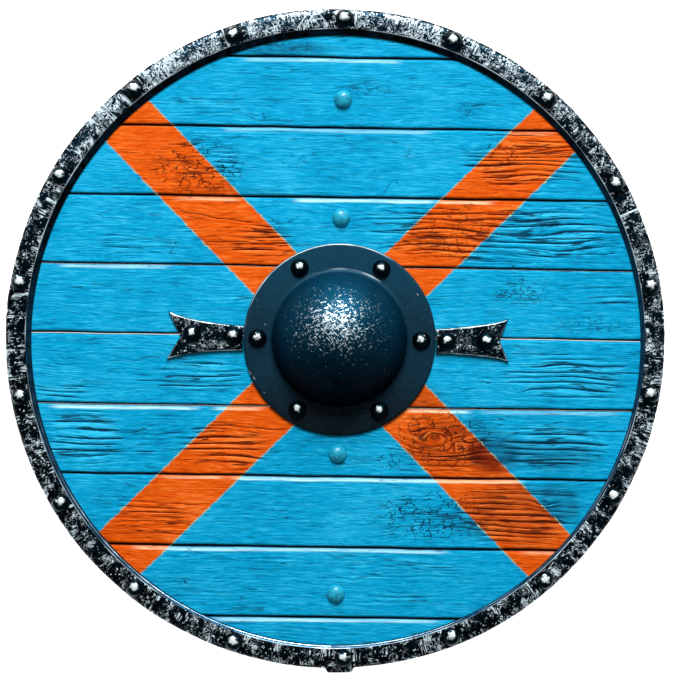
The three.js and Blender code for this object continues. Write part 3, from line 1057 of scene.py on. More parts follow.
@dataclass
class Plank:
    """One sawn board across the shield, between two seams."""

    number: int
    top_seam: float
    bottom_seam: float
    ring_pitch: float  # of the coarse grain
    # Spans where the upper bevel is painted pale as a highlight, partly rubbed paint.
    rubbed_lit_spans: tuple[tuple[float, float, float], ...]  # where the upper edge is rubbed: from, to, share
    patches: tuple[Patch, ...] = ()
    scratches: tuple[Crack, ...] = ()
    knots: tuple[Knot, ...] = ()
    stains: tuple[Patch, ...] = ()
    column_pitch: float = 1.7
    row_pitch: float = 0.76
    fine_pitch: float = 3.2  # of the raised grain
    upper_bevel: tuple[float, float] = (3.2, 1.7)  # width and depth
    lower_bevel: tuple[float, float] = (2.7, 1.9)
    ceiling: float = PLANK_FRONT + 0.2

    def waver(self, x: Array, seam: float) -> Array:
        """How far a seam wanders from its height along the board."""
        if abs(seam) > SHIELD_RADIUS - 10:
            return np.zeros_like(x)
        seed = 70 + round(seam)
        if seed < 0:
            seed = 1000 - seed
        return SAW_WAVER * drift(x, x * 0, (38.0, 1.0), seed, 2)

    def outline(self, u: Array, v: Array) -> tuple[Array, Array]:
        """Lays the unit square over the board.

        Args:
            u: Places from -1 at the left end to 1 at the right.
            v: Places from -1 at the lower edge to 1 at the upper.

        Returns:
            x and y in mm.
        """
        beyond = PLANK_RADIUS - 4.0
        high = min(self.top_seam - SEAM_GAP / 2, beyond)
        low = max(self.bottom_seam + SEAM_GAP / 2, -beyond)
        y = low + (high - low) * (v + 1) / 2
        x = u * np.sqrt(PLANK_RADIUS**2 - y**2)
        rise = (v + 1) / 2
        y = y + self.waver(x, self.top_seam) * rise + self.waver(x, self.bottom_seam) * (1 - rise)
        return x, y

    def grain_height(self, x: Array, y: Array) -> Array:
        """The height of each place measured across the bent grain instead of straight up."""
        grain_y = y + 2.6 * drift(x, y, (80.0, 18.0), 300 + self.number, 2)
        for knot in self.knots:
            grain_y = knot.bend(x, y, grain_y)
        return grain_y

    def cracks(self) -> list[Crack]:
        """The cracks of every patch, from the board's own seed, and the single scratches."""
        rng = np.random.default_rng(500 + self.number)
        found = list(self.scratches)
        for patch in self.patches:
            habit = HABITS[patch.wear]
            area = math.pi * patch.reach * patch.height
            for _ in range(round(area * patch.strength / habit.area_each)):
                out = math.sqrt(rng.uniform(0.0, 1.0))
                turn = rng.uniform(0.0, math.tau)
                length = rng.uniform(*habit.length)
                cross = rng.uniform() < habit.cross_share
                found.append(
                    Crack(
                        patch.x + out * patch.reach * math.cos(turn) - length / 2,
                        patch.y + out * patch.height * math.sin(turn),
                        length * (0.45 if cross else 1.0),
                        rng.uniform(25.0, 70.0) if cross else rng.uniform(-habit.lean, habit.lean),
                        habit.half_width * rng.uniform(0.8, 1.25),
                        habit.depth * patch.strength * rng.uniform(0.5, 1.2),
                        habit.sway * rng.uniform(0.4, 1.2),
                        rng.uniform(0.0, math.tau),
                    )
                )
        return found

    def carve(self, form: Form, count: int) -> None:
        """Gives the front its bevels, raised grain and cracks.

        Args:
            form: The board, still flat.
            count: Number of corners on the front, which come first.
        """
        places = form.places
        u, v = places[:, 0], places[:, 1]
        x, y = self.outline(u, v)
        grain_y = self.grain_height(x, y)
        shares = {wear: np.zeros_like(x) for wear in Wear}
        for patch in self.patches:
            share = patch.share(x, y) * patch.strength
            shares[patch.wear] = np.maximum(shares[patch.wear], share)
        rippled, lined, crackled = (shares[wear] for wear in Wear)
        quiet = 0.28 + 0.22 * drift(x, y, (70.0, 20.0), 880 + self.number, 2)
        worn = np.maximum.reduce([quiet, rippled * 0.7, lined, crackled * 0.8])

        # Raised grain: fine waves everywhere, open coarse ones in lined patches. Each line of the
        # grain comes and goes along the board by itself.
        own = 900 + self.number
        layer = grain_y / self.ring_pitch + 0.55 * drift(x, y, (64.0, 12.0), own + 40, 2)
        fade = drift(x, layer, (46.0, 0.75), own, 2)
        waves = grain_y / self.fine_pitch + 0.5 * drift(x, y, (50.0, 8.0), own + 20, 2)
        fine = np.sin(math.tau * waves)
        off_ring = layer % 1 - 0.5
        coarse = -np.cos(math.tau * off_ring)
        rough = drift(x, grain_y, (22.0, 1.5), own + 60, 1)
        light = 0.10 + 0.9 * np.maximum(rippled, 0.35 * worn)
        ripple = (0.6 * fine * (0.55 + 0.45 * fade) + 0.55 * rough) * light
        ripple += 0.8 * coarse * lined * (0.6 + 0.4 * fade)
        gape = 0.62 * smooth(fade + 1.1 * lined, 0.3, 1.6) * smooth(lined, 0.05, 0.6)
        groove = smooth(gape + 0.55 - np.abs(off_ring) * self.ring_pitch, 0.0, 0.9)
        groove *= smooth(gape, 0, 0.3)

        bite, depth = np.zeros_like(x), 0.75 * groove
        for crack in self.cracks():
            part = crack.bite(x, grain_y)
            bite = np.maximum(bite, part * min(1.0, 0.35 + crack.depth))
            depth = np.maximum(depth, part * crack.depth)

        under_top = self.outline(u, np.ones_like(v))[1] - y
        over_bottom = y - self.outline(u, -np.ones_like(v))[1]
        wide = 1 + 0.35 * drift(x, x * 0, (45.0, 1.0), 820 + self.number, 2)
        streaks = 0.5 + 0.5 * drift(x, y, (30.0, 2.2), 60 + self.number, 2)
        lit = np.zeros_like(x)
        for start, end, share in self.rubbed_lit_spans:
            rub = share * smooth(x, start, start + 16.0) * (1 - smooth(x, end - 16.0, end))
            lit = np.maximum(lit, rub)
        lit = np.clip(lit * (0.4 + 1.2 * streaks), 0, 1)
        upper = np.clip(1 - under_top / (self.upper_bevel[0] * wide * (0.7 + 0.5 * lit)), 0, 1)
        lower = np.clip(1 - over_bottom / (self.lower_bevel[0] * (2 - wide)), 0, 1)
        cup = 0.22 * drift(x, y, (110.0, 34.0), 40 + self.number, 2) - 0.15

        z = PLANK_FRONT + cup + 0.36 * ripple - depth
        z -= self.upper_bevel[1] * (0.45 + 0.55 * lit) * upper**1.15
        z -= self.lower_bevel[1] * lower**1.3
        front = np.arange(len(x)) < count
        places[:, 0], places[:, 1] = x, y
        places[front, 2] = np.minimum(z, self.ceiling)[front]
        form.move(places)

        stained = np.zeros_like(x)
        for stain in self.stains:
            mottle = 0.85 + 0.6 * drift(x, y, (16.0, 6.0), own + 80, 3)
            stained = np.maximum(stained, stain.share(x, y) * stain.strength * mottle)
        # The upper bevel, which faces the lamp, is painted pale, unevenly: a painted highlight, partly
        # the paint rubbed through to its pale undercoat.
        arris = np.exp(-(((under_top - 2.9 * wide) / 0.85) ** 2))
        rubbed = np.maximum(arris, 0.55 * smooth(upper, 0.02, 0.4)) * lit
        rubbed *= 1 - smooth(upper, 0.7, 0.9)
        # The lower bevel, which faces away from the lamp, the foot of the upper bevel and the side walls are
        # painted near-black: a dark joint with painted shade.
        seam = np.maximum(smooth(lower, 0.2, 0.6), smooth(upper, 0.84, 0.97))
        form.note("layer", layer)
        form.note("open", np.where(gape > 0.02, gape, -0.1))
        form.note("grain", np.clip(0.5 + 0.5 * ripple, 0, 1))
        form.note("worn", worn)
        form.note("crackled", crackled)
        form.note("crack", bite)
        form.note("rubbed", rubbed)
        form.note("stained", np.clip(stained, 0, 1))
        form.note("seam", np.where(front, seam, 1.0))

    def build(self, paint: bpy.types.Material, wood: bpy.types.Material) -> bpy.types.Object:
        """Makes the board.

        Args:
            paint: The paint on its front and edges.
            wood: The bare wood of its back.

        Returns:
            The finished board.
        """
        widest = self.outline(np.array([1.0]), np.array([0.0]))[0][0] * 2
        tall = min(self.top_seam, PLANK_RADIUS) - max(self.bottom_seam, -PLANK_RADIUS)
        columns = round(widest / self.column_pitch)
        shape, count = slab(columns, round(tall / self.row_pitch), PLANK_BACK, PLANK_FRONT)
        form = Form(f"board_{self.number}", shape)
        self.carve(form, count)
        board = form.finish([paint, wood])
        if self.bottom_seam < HAND_HOLE_RADIUS and self.top_seam > -HAND_HOLE_RADIUS:
            drilled(board, BOSS_CENTRE, HAND_HOLE_RADIUS, HAND_HOLE_SIDES)
        hand_over(board, "painted_wood", f"plank_{self.number}")
        return board


@dataclass
class Boards:
    """The ten boards and where each has weathered."""

    ring_pitches: tuple[float, ...] = (5.0, 4.6, 4.8, 6.4, 5.2, 5.4, 6.0, 5.0, 5.0, 5.0)
    rubbed_lit_spans: tuple[tuple[tuple[float, float, float], ...], ...] = (
        (),
        ((-95, 62, 0.6),),
        ((-112, 92, 0.4), (150, 205, 0.35)),
        ((-155, -85, 0.6), (-45, 95, 1.0), (85, 150, 0.8)),
        ((-262, -150, 0.6),),
        (),
        ((-268, -120, 0.75), (-118, -60, 0.7), (62, 132, 1.0), (130, 270, 0.25)),
        ((-165, -95, 0.6), (-100, 180, 1.0)),
        ((-190, 112, 0.75), (170, 215, 0.7)),
        ((-115, 105, 0.7),),
    )
    patches: dict[int, tuple[Patch, ...]] = field(
        default_factory=lambda: {
            1: (Patch(-55, 268, 50, 7, 0.5, Wear.CRACKLED),),
            2: (
                Patch(-135, 212, 52, 12, 0.75, Wear.RIPPLED),
                Patch(30, 232, 24, 10, 0.6, Wear.CRACKLED),
                Patch(122, 213, 14, 10, 0.5, Wear.CRACKLED),
                Patch(-72, 204, 12, 5, 0.6, Wear.CRACKLED),
            ),
            3: (
                Patch(-70, 187, 75, 6, 0.6, Wear.RIPPLED),
                Patch(-128, 157, 44, 28, 1.0, Wear.CRACKLED),
                Patch(-103, 158, 16, 15, 0.8, Wear.LINED),
                Patch(-40, 163, 18, 9, 0.35, Wear.CRACKLED),
                Patch(67, 172, 8, 6, 0.5, Wear.CRACKLED),
                Patch(172, 165, 60, 26, 0.85, Wear.LINED),
                Patch(150, 172, 24, 14, 0.8, Wear.CRACKLED),
            ),
            4: (
                Patch(-182, 88, 44, 13, 0.55, Wear.LINED),
                Patch(-69, 87, 33, 19, 0.95, Wear.LINED),
                Patch(150, 98, 120, 30, 1.0, Wear.LINED),
                Patch(110, 98, 45, 24, 0.7, Wear.CRACKLED),
            ),
            5: (
                Patch(-215, 38, 60, 14, 0.5, Wear.RIPPLED),
                Patch(170, 46, 30, 15, 0.75, Wear.CRACKLED),
                Patch(256, 42, 26, 11, 0.7, Wear.LINED),
                Patch(230, 15, 42, 9, 0.5, Wear.CRACKLED),
            ),
            6: (
                Patch(-250, -52, 28, 8, 0.7, Wear.LINED),
                Patch(-125, -38, 46, 18, 0.75, Wear.LINED),
                Patch(217, -34, 66, 24, 0.8, Wear.LINED),
            ),
            7: (
                Patch(-232, -94, 40, 27, 1.0, Wear.LINED),
                Patch(-164, -94, 42, 20, 0.6, Wear.RIPPLED),
                Patch(-100, -102, 42, 24, 0.95, Wear.LINED),
                Patch(52, -113, 16, 8, 0.7, Wear.CRACKLED),
                Patch(104, -92, 50, 29, 1.0, Wear.CRACKLED),
                Patch(108, -96, 46, 27, 0.9, Wear.LINED),
                Patch(204, -98, 54, 26, 0.95, Wear.LINED),
            ),
            8: (
                Patch(-168, -172, 46, 20, 0.7, Wear.LINED),
                Patch(92, -164, 58, 24, 1.0, Wear.CRACKLED),
                Patch(168, -161, 60, 29, 1.0, Wear.LINED),
                Patch(213, -152, 22, 16, 0.7, Wear.LINED),
            ),
            9: (
                Patch(-80, -208, 60, 9, 0.4, Wear.RIPPLED),
                Patch(60, -212, 66, 14, 0.65, Wear.RIPPLED),
                Patch(70, -240, 50, 10, 0.45, Wear.LINED),
                Patch(-110, -236, 70, 5, 0.4, Wear.LINED),
            ),
            10: (Patch(-40, -268, 60, 7, 0.4, Wear.RIPPLED),),
        }
    )
    knots: dict[int, tuple[Knot, ...]] = field(
        default_factory=lambda: {
            2: (Knot(-71, 205, 4.0),),
            3: (Knot(68, 172, 4.5),),
            6: (Knot(170, -44, 3.5),),
            7: (Knot(93, -90, 13.0), Knot(116, -98, 6.0)),
            8: (Knot(196, -149, 4.5),),
        }
    )
    stains: dict[int, tuple[Patch, ...]] = field(
        default_factory=lambda: {
            1: (Patch(-60, 268, 60, 8, 0.6),),
            3: (Patch(-95, 134, 50, 6, 0.35),),
            6: (Patch(82, -55, 26, 14, 0.45),),
            7: (
                Patch(110, -96, 52, 26, 0.5),
                Patch(148, -104, 30, 20, 1.0),
                Patch(205, -106, 44, 18, 0.5),
            ),
            8: (
                Patch(168, -161, 60, 30, 0.55),
                Patch(208, -150, 24, 20, 0.75),
            ),
        }
    )
    scratches: dict[int, tuple[Crack, ...]] = field(
        default_factory=lambda: {
            2: (
                Crack(116, 202, 17, 58, 0.8, 0.5, 0.6, 1.0),
                Crack(120, 214, 20, 12, 0.6, 0.7, 0.8, 2.0),
            ),
            3: (
                Crack(41, 130, 22, 62, 0.75, 0.4, 0.5, 0.4),
                Crack(52, 150, 12, -58, 0.75, 0.4, 0.3, 1.4),
                Crack(-141, 176, 17, 17, 0.6, 0.8, 0.8, 2.2),
            ),
            4: (
                Crack(-149, 115, 74, -7, 0.5, 0.6, 0.8, 0.9),
                Crack(-156, 71, 24, 66, 0.8, 0.4, 0.4, 0.3),
                Crack(160, 72, 14, -46, 0.8, 0.6, 0.5, 1.9),
            ),
            7: (Crack(146, -78, 38, -64, 0.7, 0.3, 0.5, 0.7),),
            9: (Crack(-138, -224, 9, -66, 0.9, 0.9, 0.3, 0.5),),
        }
    )

    def build(self) -> None:
        """Makes every board."""
        paint = PaintedBoards().material()
        wood = BareWood(
            "sawn_pine_left_bare", 0xA88660, 0x6B4E33, (1 / 90, 1 / 2.4, 1 / 2.4)
        ).material()
        beyond = SHIELD_RADIUS + 10
        edges = (beyond, *SEAM_HEIGHTS, -beyond)
        for i, (top, bottom) in enumerate(zip(edges, edges[1:])):
            number = i + 1
            Plank(
                number,
                top,
                bottom,
                self.ring_pitches[i],
                self.rubbed_lit_spans[i],
                self.patches.get(number, ()),
                self.scratches.get(number, ()),
                self.knots.get(number, ()),
                self.stains.get(number, ()),
            ).build(paint, wood)


# ---- Rim ----------------------------------------------------------------------------------------


@dataclass(frozen=True)
class Stroke:
    """A straight stroke chiselled into the rim, from one place on the band to another.

    A place is the distance along the band from the top, clockwise, and the radius, in mm.
    """

    start: Spot
    end: Spot
    half_width: float = 0.7

    def bite(self, run: Array, radius: Array) -> Array:
        """How deep the stroke is at each place, from 0 to 1."""
        (x0, y0), (x1, y1) = self.start, self.end
        dx, dy = x1 - x0, y1 - y0
        share = np.clip(((run - x0) * dx + (radius - y0) * dy) / (dx * dx + dy * dy), 0, 1)
        away = np.hypot(run - x0 - share * dx, radius - y0 - share * dy)
        return np.exp(-((away / self.half_width) ** 2))


@dataclass
class Rim:
    """The iron channel round the boards' ends: wall, crowned band, rolled lip, back flange."""

    wall: float = 3.0
    face_inner: float = 286.5
    lip_inner: float = 281.0
    proud: float = 4.7
    edge_round: float = 1.8
    back_inner: float = 284.0
    back_thickness: float = 2.5
    lap_angle: float = -88.4
    lap_half_length: float = 14.0
    lap_stand_out: float = 4.2
    lap_corner: float = 3.5
    rivet_count: int = 18
    rivet_radius: float = 295.8
    rivet_turn: float = 0.75
    rivet_creep: float = 1.6
    rivet_phase: float = 10.0
    steps: int = 1600
    stroke_depth: float = 0.45
    strip_ends: tuple[float, ...] = (24.0, 111.0, -86.5)  # where the band's strips overlap
    plate_middle: float = -2.0  # along the band from the top
    plate_half_length: float = 11.8
    lip_widest: float = 115.0  # the direction, in degrees, in which the lip is rolled widest
    rubbed_edge: float = 302.6  # radius of the rubbed line along the outer edge
    strokes: tuple[Stroke, ...] = (
        Stroke((-40, 289), (-29, 302)),
        Stroke((-33, 289), (-23, 302)),
        Stroke((-29, 302), (-19, 289)),
        Stroke((-20, 302), (-12, 291)),
        Stroke((-26, 295), (-17, 296), 0.6),
        Stroke((72, 289), (75, 302), 0.6),
        Stroke((80, 302), (86, 290), 0.6),
        Stroke((86, 290), (93, 301), 0.6),
        Stroke((-182, 290), (-172, 302), 0.6),
        Stroke((-172, 302), (-165, 290), 0.6),
    )

    @property
    def crown(self) -> float:
        """Height of the band's crown."""
        return PLANK_FRONT + self.proud

    @property
    def back_face(self) -> float:
        """Height of the back flange's outer face."""
        return PLANK_BACK - FIT - self.back_thickness

    def rivet_spots(self) -> list[Spot]:
        """Where the rivets are, clockwise from the top, as unevenly as they were set out."""
        spots = []
        for i in range(self.rivet_count):
            even = 90 - 360 / self.rivet_count * i
            creep = self.rivet_creep * math.sin(math.radians(even + self.rivet_phase))
            spots.append(on_circle(self.rivet_radius, even + self.rivet_turn - creep))
        return spots

    def profile(self) -> Profile:
        """The channel's section, with points close together over the front band."""
        outer, crown, back = SHIELD_RADIUS, self.crown, self.back_face
        middle = (outer + self.face_inner) / 2
        under = PLANK_FRONT + FIT
        back_top = PLANK_BACK - FIT
        inner = outer - self.wall
        band: Profile = [
            (outer, crown - self.edge_round * 1.5),
            (outer - self.edge_round, crown - self.edge_round * 0.5),
            ((outer + middle) / 2, crown - 0.2),
            (middle, crown),
            ((self.face_inner + middle) / 2, crown - 0.15),
            (self.face_inner, crown - 0.8),
            (self.face_inner - 1.2, crown - 1.0),
            (self.face_inner - 2.3, crown - 2.0),
            (self.lip_inner + 1.4, crown - 2.7),
            (self.lip_inner, under + 0.8),
            (self.lip_inner, under),
        ]
        rest: Profile = [
            (self.lip_inner, under),
            (inner, under),
            (inner, back_top),
            (self.back_inner, back_top),
            (self.back_inner, back),
            (outer - self.edge_round, back),
            (outer, back + self.edge_round),
        ]
        return along(band, 0.95)[:-1] + along(rest, 6.0) + [band[0]]

    def work(self, form: Form) -> None:
        """Hammers the band, laps its strips and cuts its strokes."""
        places = form.places
        x, y, z = places.T
        radius = np.hypot(x, y)
        angle = np.arctan2(y, x)

        def past(degrees: float) -> Array:
            """How far each place lies clockwise past a direction, in radians from -pi to pi."""
            return (math.radians(degrees) - angle + math.pi) % math.tau - math.pi

        # Distance along the band from the top, clockwise; the jump lies at the bottom lap.
        run = past(90.0) * self.rivet_radius
        front = smooth(z, PLANK_FRONT + 1.2, PLANK_FRONT + 2.6)
        front *= smooth(radius, self.face_inner - 1.5, self.face_inner + 1.0)
        outside = smooth(radius, SHIELD_RADIUS - 5.0, SHIELD_RADIUS - 0.5)

        facets = drift(x, y, (9.0, 9.0), 21, 2)
        pits = drift(x, y, (2.6, 2.6), 22, 2)
        bite = np.zeros_like(x)
        for stroke in self.strokes:
            bite = np.maximum(bite, stroke.bite(run, radius))
        z = z + front * (0.28 * facets + 0.16 * pits - self.stroke_depth * bite)

        # A strip ends on top of the next one: its edge is a small step across the band.
        edge = np.zeros_like(x)
        for end in self.strip_ends:
            from_end = past(end) * self.rivet_radius
            z = z + front * 0.55 * smooth(from_end, -0.8, 0.8) * (1 - smooth(from_end, 6.0, 60.0))
            edge = np.maximum(edge, np.exp(-((from_end / 0.9) ** 2)) * front)

        # A plain plate is wrapped round the band at the top, under its rivet.
        off_plate = np.abs(run - self.plate_middle) - self.plate_half_length
        plate = 1 - smooth(off_plate, -0.8, 0.8)
        z = z + front * (0.35 - 0.2 * pits) * plate

        from_lap = np.abs(past(self.lap_angle)) * SHIELD_RADIUS
        lap = 1 - smooth(from_lap, self.lap_half_length - self.lap_corner, self.lap_half_length)
        push = self.lap_stand_out * lap * outside
        push += outside * (0.5 * drift(x, y, (38.0, 38.0), 23, 2) + 0.2 * pits) * (1 - lap)
        # The lip is rolled wide at the top left and narrow at the lower right.
        across = np.clip(
            (self.face_inner - 0.2 - radius) / (self.face_inner - self.lip_inner), 0, 1
        )
        on_lip = across * smooth(z, PLANK_FRONT, PLANK_FRONT + 0.2)
        width = 0.82 + 0.33 * np.cos(angle - math.radians(self.lip_widest))
        push += on_lip * (1 - width) * (self.face_inner - self.lip_inner)
        grown = (radius + push) / radius
        places[:, 0], places[:, 1], places[:, 2] = x * grown, y * grown, z
        form.move(places)

        # Painted light: the upper half, which faces the lamp, is painted bright all over and the lower
        # half black, over the rubbed silver of the hammered band.
        height = y / SHIELD_RADIUS
        silver_and_light = 0.12 + 0.62 * smooth(height, 0.1, 1.0)
        silver_and_light -= 0.2 * smooth(x, 60.0, 200.0) * smooth(height, 0.2, 0.6)
        silver_and_light += 0.14 * smooth(x, 150.0, 290.0) * (1 - smooth(height, 0.3, 0.6))
        silver_and_light *= 0.85 + 0.3 * drift(x, y, (42.0, 42.0), 24, 2)
        # Darker within about 15 mm of each rivet.
        for spot in self.rivet_spots():
            away = np.hypot(x - spot[0], y - spot[1])
            silver_and_light *= 0.12 + 0.88 * smooth(away, 10.0, 15.5)
        silver_and_light *= 1 - 0.9 * plate
        silver_and_light *= smooth(radius, self.face_inner, self.face_inner + 1.2)
        silver_and_light *= 1 - 0.8 * smooth(radius, self.rubbed_edge - 0.4, self.rubbed_edge + 0.8)
        silver_and_light *= smooth(z, PLANK_FRONT + 1.2, PLANK_FRONT + 2.6)
        shine = 0.62 + 0.38 * drift(run, radius, (26.0, 4.0), 25, 2)
        inner_edge = np.exp(-(((radius - self.face_inner - 0.1) / 0.6) ** 2)) * shine
        where = np.maximum(0.8 * smooth(height, -0.2, 0.4), smooth(-x, 100.0, 240.0))
        outer_edge = np.exp(-(((radius - self.rubbed_edge) / 0.6) ** 2)) * (shine - 0.2) * where
        # A bright line painted along the middle of the lip in its lower half, where it faces the lamp: a
        # painted highlight.
        lip_highlight = np.exp(-(((across - 0.55) / 0.16) ** 2)) * smooth(-height, -0.3, 0.4) * shine
        lip_highlight *= across > 0.05
        facing = smooth(z, PLANK_FRONT + 1.5, PLANK_FRONT + 2.6)
        worn = np.maximum.reduce([inner_edge, outer_edge, bite * 0.9, edge * 0.85]) * facing
        worn = np.maximum(worn, lip_highlight)
        # Painted light: the lip is painted blue where it faces the lamp, most in the lower half and on
        # the right, and black under the band's top.
        blued_lit = 0.75 - 0.75 * smooth(height, -0.45, 0.75) + 0.35 * smooth(x, 120.0, 260.0)
        form.note("silver_and_light", np.clip(silver_and_light, 0, 1))
        form.note("worn", np.clip(worn, 0, 1))
        form.note("blued_lit", np.clip(blued_lit + 0.25 * drift(x, y, (30.0, 30.0), 26, 2), 0, 1))

    def build(self) -> None:
        """Makes the rim."""
        iron = BlackenedIron(
            "wrought_iron_hammered_and_blackened", 0x060C11, 0x143A4E, radial=True
        ).material()
        shape = turned(self.profile(), self.steps)
        for face in shape.faces:
            middle = face.calc_center_median()
            if middle.z > PLANK_FRONT and math.hypot(middle.x, middle.y) < self.face_inner - 0.3:
                face.material_index = 1
        form = Form("iron_rim", shape)
        self.work(form)
        piece = form.finish([iron, RolledLip().material()], 50.0)
        hand_over(piece, "blackened_iron", "rim")


# ---- Boss and straps ----------------------------------------------------------------------------


@dataclass
class Boss:
    """The hollow iron dome over the hand hole, with its flange."""

    flange_radius: float = 89.0
    flange_thickness: float = 2.5
    edge_bevel: float = 0.8
    dome_radius: float = 62.0
    dome_top: float = 78.0
    wall: float = 2.5
    fillet: float = 4.0
    rivet_count: int = 6
    rivet_radius: float = 75.7
    steps: int = 200
    # The line at the dome's root is a painted highlight.
    root_highlight_radius: float = 65.4  # of the rubbed line at the dome's root
    nicks: tuple[Crack, ...] = (
        Crack(-62, 45, 4, -20, 0.9, sway=0.2),
        Crack(-73, 28, 5, 12, 0.8, sway=0.2),
        Crack(-84, -26, 22, -52, 0.7, sway=0.4),
        Crack(-66, -48, 8, -78, 0.8, sway=0.2),
        Crack(74, 44, 5, -50, 0.8, sway=0.2),
    )

    @property
    def flange_top(self) -> float:
        """Height of the flange's front."""
        return PLANK_FRONT + FIT + self.flange_thickness

    def rivet_spots(self) -> list[Spot]:
        """Where the flange's rivets are."""
        step = 360 / self.rivet_count
        return [
            on_circle(self.rivet_radius, step * i, BOSS_CENTRE) for i in range(self.rivet_count)
        ]

    def profile(self) -> Profile:
        """The shell's section, from the hollow's crown round the flange to the dome's crown."""
        seat = PLANK_FRONT + FIT
        foot = self.flange_top + self.fillet * 0.7
        rise = self.dome_top - foot
        sphere = (self.dome_radius**2 + rise**2) / (2 * rise)
        middle = self.dome_top - sphere
        fillet_height = self.flange_top + self.fillet
        fillet_centre = math.sqrt((sphere + self.fillet) ** 2 - (fillet_height - middle) ** 2)
        foot_angle = math.degrees(math.atan2(fillet_height - middle, fillet_centre))
        hollow = sphere - self.wall
        mouth = math.degrees(math.asin((seat - middle) / hollow))
        rim = self.flange_radius
        flange = along(
            [
                (rim, seat),
                (rim, self.flange_top - self.edge_bevel),
                (rim - self.edge_bevel, self.flange_top),
                (fillet_centre, self.flange_top),
            ],
            1.6,
        )
        return (
            arc((0.0, middle), hollow, 90, mouth, 26)
            + flange[:-1]
            + arc((fillet_centre, fillet_height), self.fillet, -90, -180 + foot_angle, 5)
            + arc((0.0, middle), sphere, foot_angle, 90, 58)[1:]
        )

    def build(self) -> None:
        """Makes the boss: smooth flange, pitted dome."""
        shape = turned(self.profile(), self.steps, BOSS_CENTRE)
        for face in shape.faces:
            middle = face.calc_center_median()
            out = math.hypot(middle.x - BOSS_CENTRE[0], middle.y - BOSS_CENTRE[1])
            dome = middle.z > self.flange_top + self.fillet * 0.5 and out < self.dome_radius + 2.5
            face.material_index = 1 if dome else 0
        form = Form("iron_boss", shape)
        places = form.places
        x, y, z = places.T
        out = np.hypot(x - BOSS_CENTRE[0], y - BOSS_CENTRE[1])
        on_dome = smooth(z, self.flange_top + 3, self.flange_top + 8)
        dents = 0.3 * drift(x, y, (13.0, 13.0), 31, 2) + 0.13 * drift(x, y, (3.0, 3.0), 32, 2)
        on_flange = smooth(z, self.flange_top - 0.3, self.flange_top) * smooth(out, 67, 70)
        z = z + on_dome * dents + on_flange * (1 - on_dome) * 0.12 * drift(
            x, y, (16.0, 16.0), 33, 2
        )
        places[:, 2] = np.minimum(z, self.dome_top)
        form.move(places)

        # Painted highlights: a line along the flange's edge at its upper left and one round the dome's root at
        # its top, both facing the lamp. The nicks are real wear.
        turn = np.degrees(np.arctan2(y - BOSS_CENTRE[1], x - BOSS_CENTRE[0]))
        lamp_side = smooth(-np.abs(turn - 115.0), -95.0, -35.0)
        edge = np.exp(-(((out - self.flange_radius + 0.9) / 0.9) ** 2)) * lamp_side
        root = np.exp(-(((out - self.root_highlight_radius) / 1.1) ** 2))
        root *= smooth(-np.abs(turn - 92.0), -70.0, -25.0)
        shine = 0.7 + 0.3 * drift(x, y, (14.0, 14.0), 34, 2)
        nicks = np.zeros_like(x)
        for nick in self.nicks:
            nicks = np.maximum(nicks, nick.bite(x, y))
        form.note("worn", np.clip(np.maximum.reduce([edge, root, nicks]) * shine, 0, 1))
        # Painted light: the flange is painted lighter towards the top and dark at the bottom, where the dome's
        # shadow falls.
        flange_top_light = 0.08 + 0.42 * smooth(y, -85, -20) + 0.5 * smooth(y, 0, 75)
        flange_top_light += 0.08 * drift(x, y, (12.0, 12.0), 35, 2)
        form.note("silver_and_light", np.clip(flange_top_light, 0, 1))
        flange = PlanishedIron().material()
        piece = form.finish([flange, BurnishedDome().material()], 55.0)
        hand_over(piece, "blackened_iron", "boss")


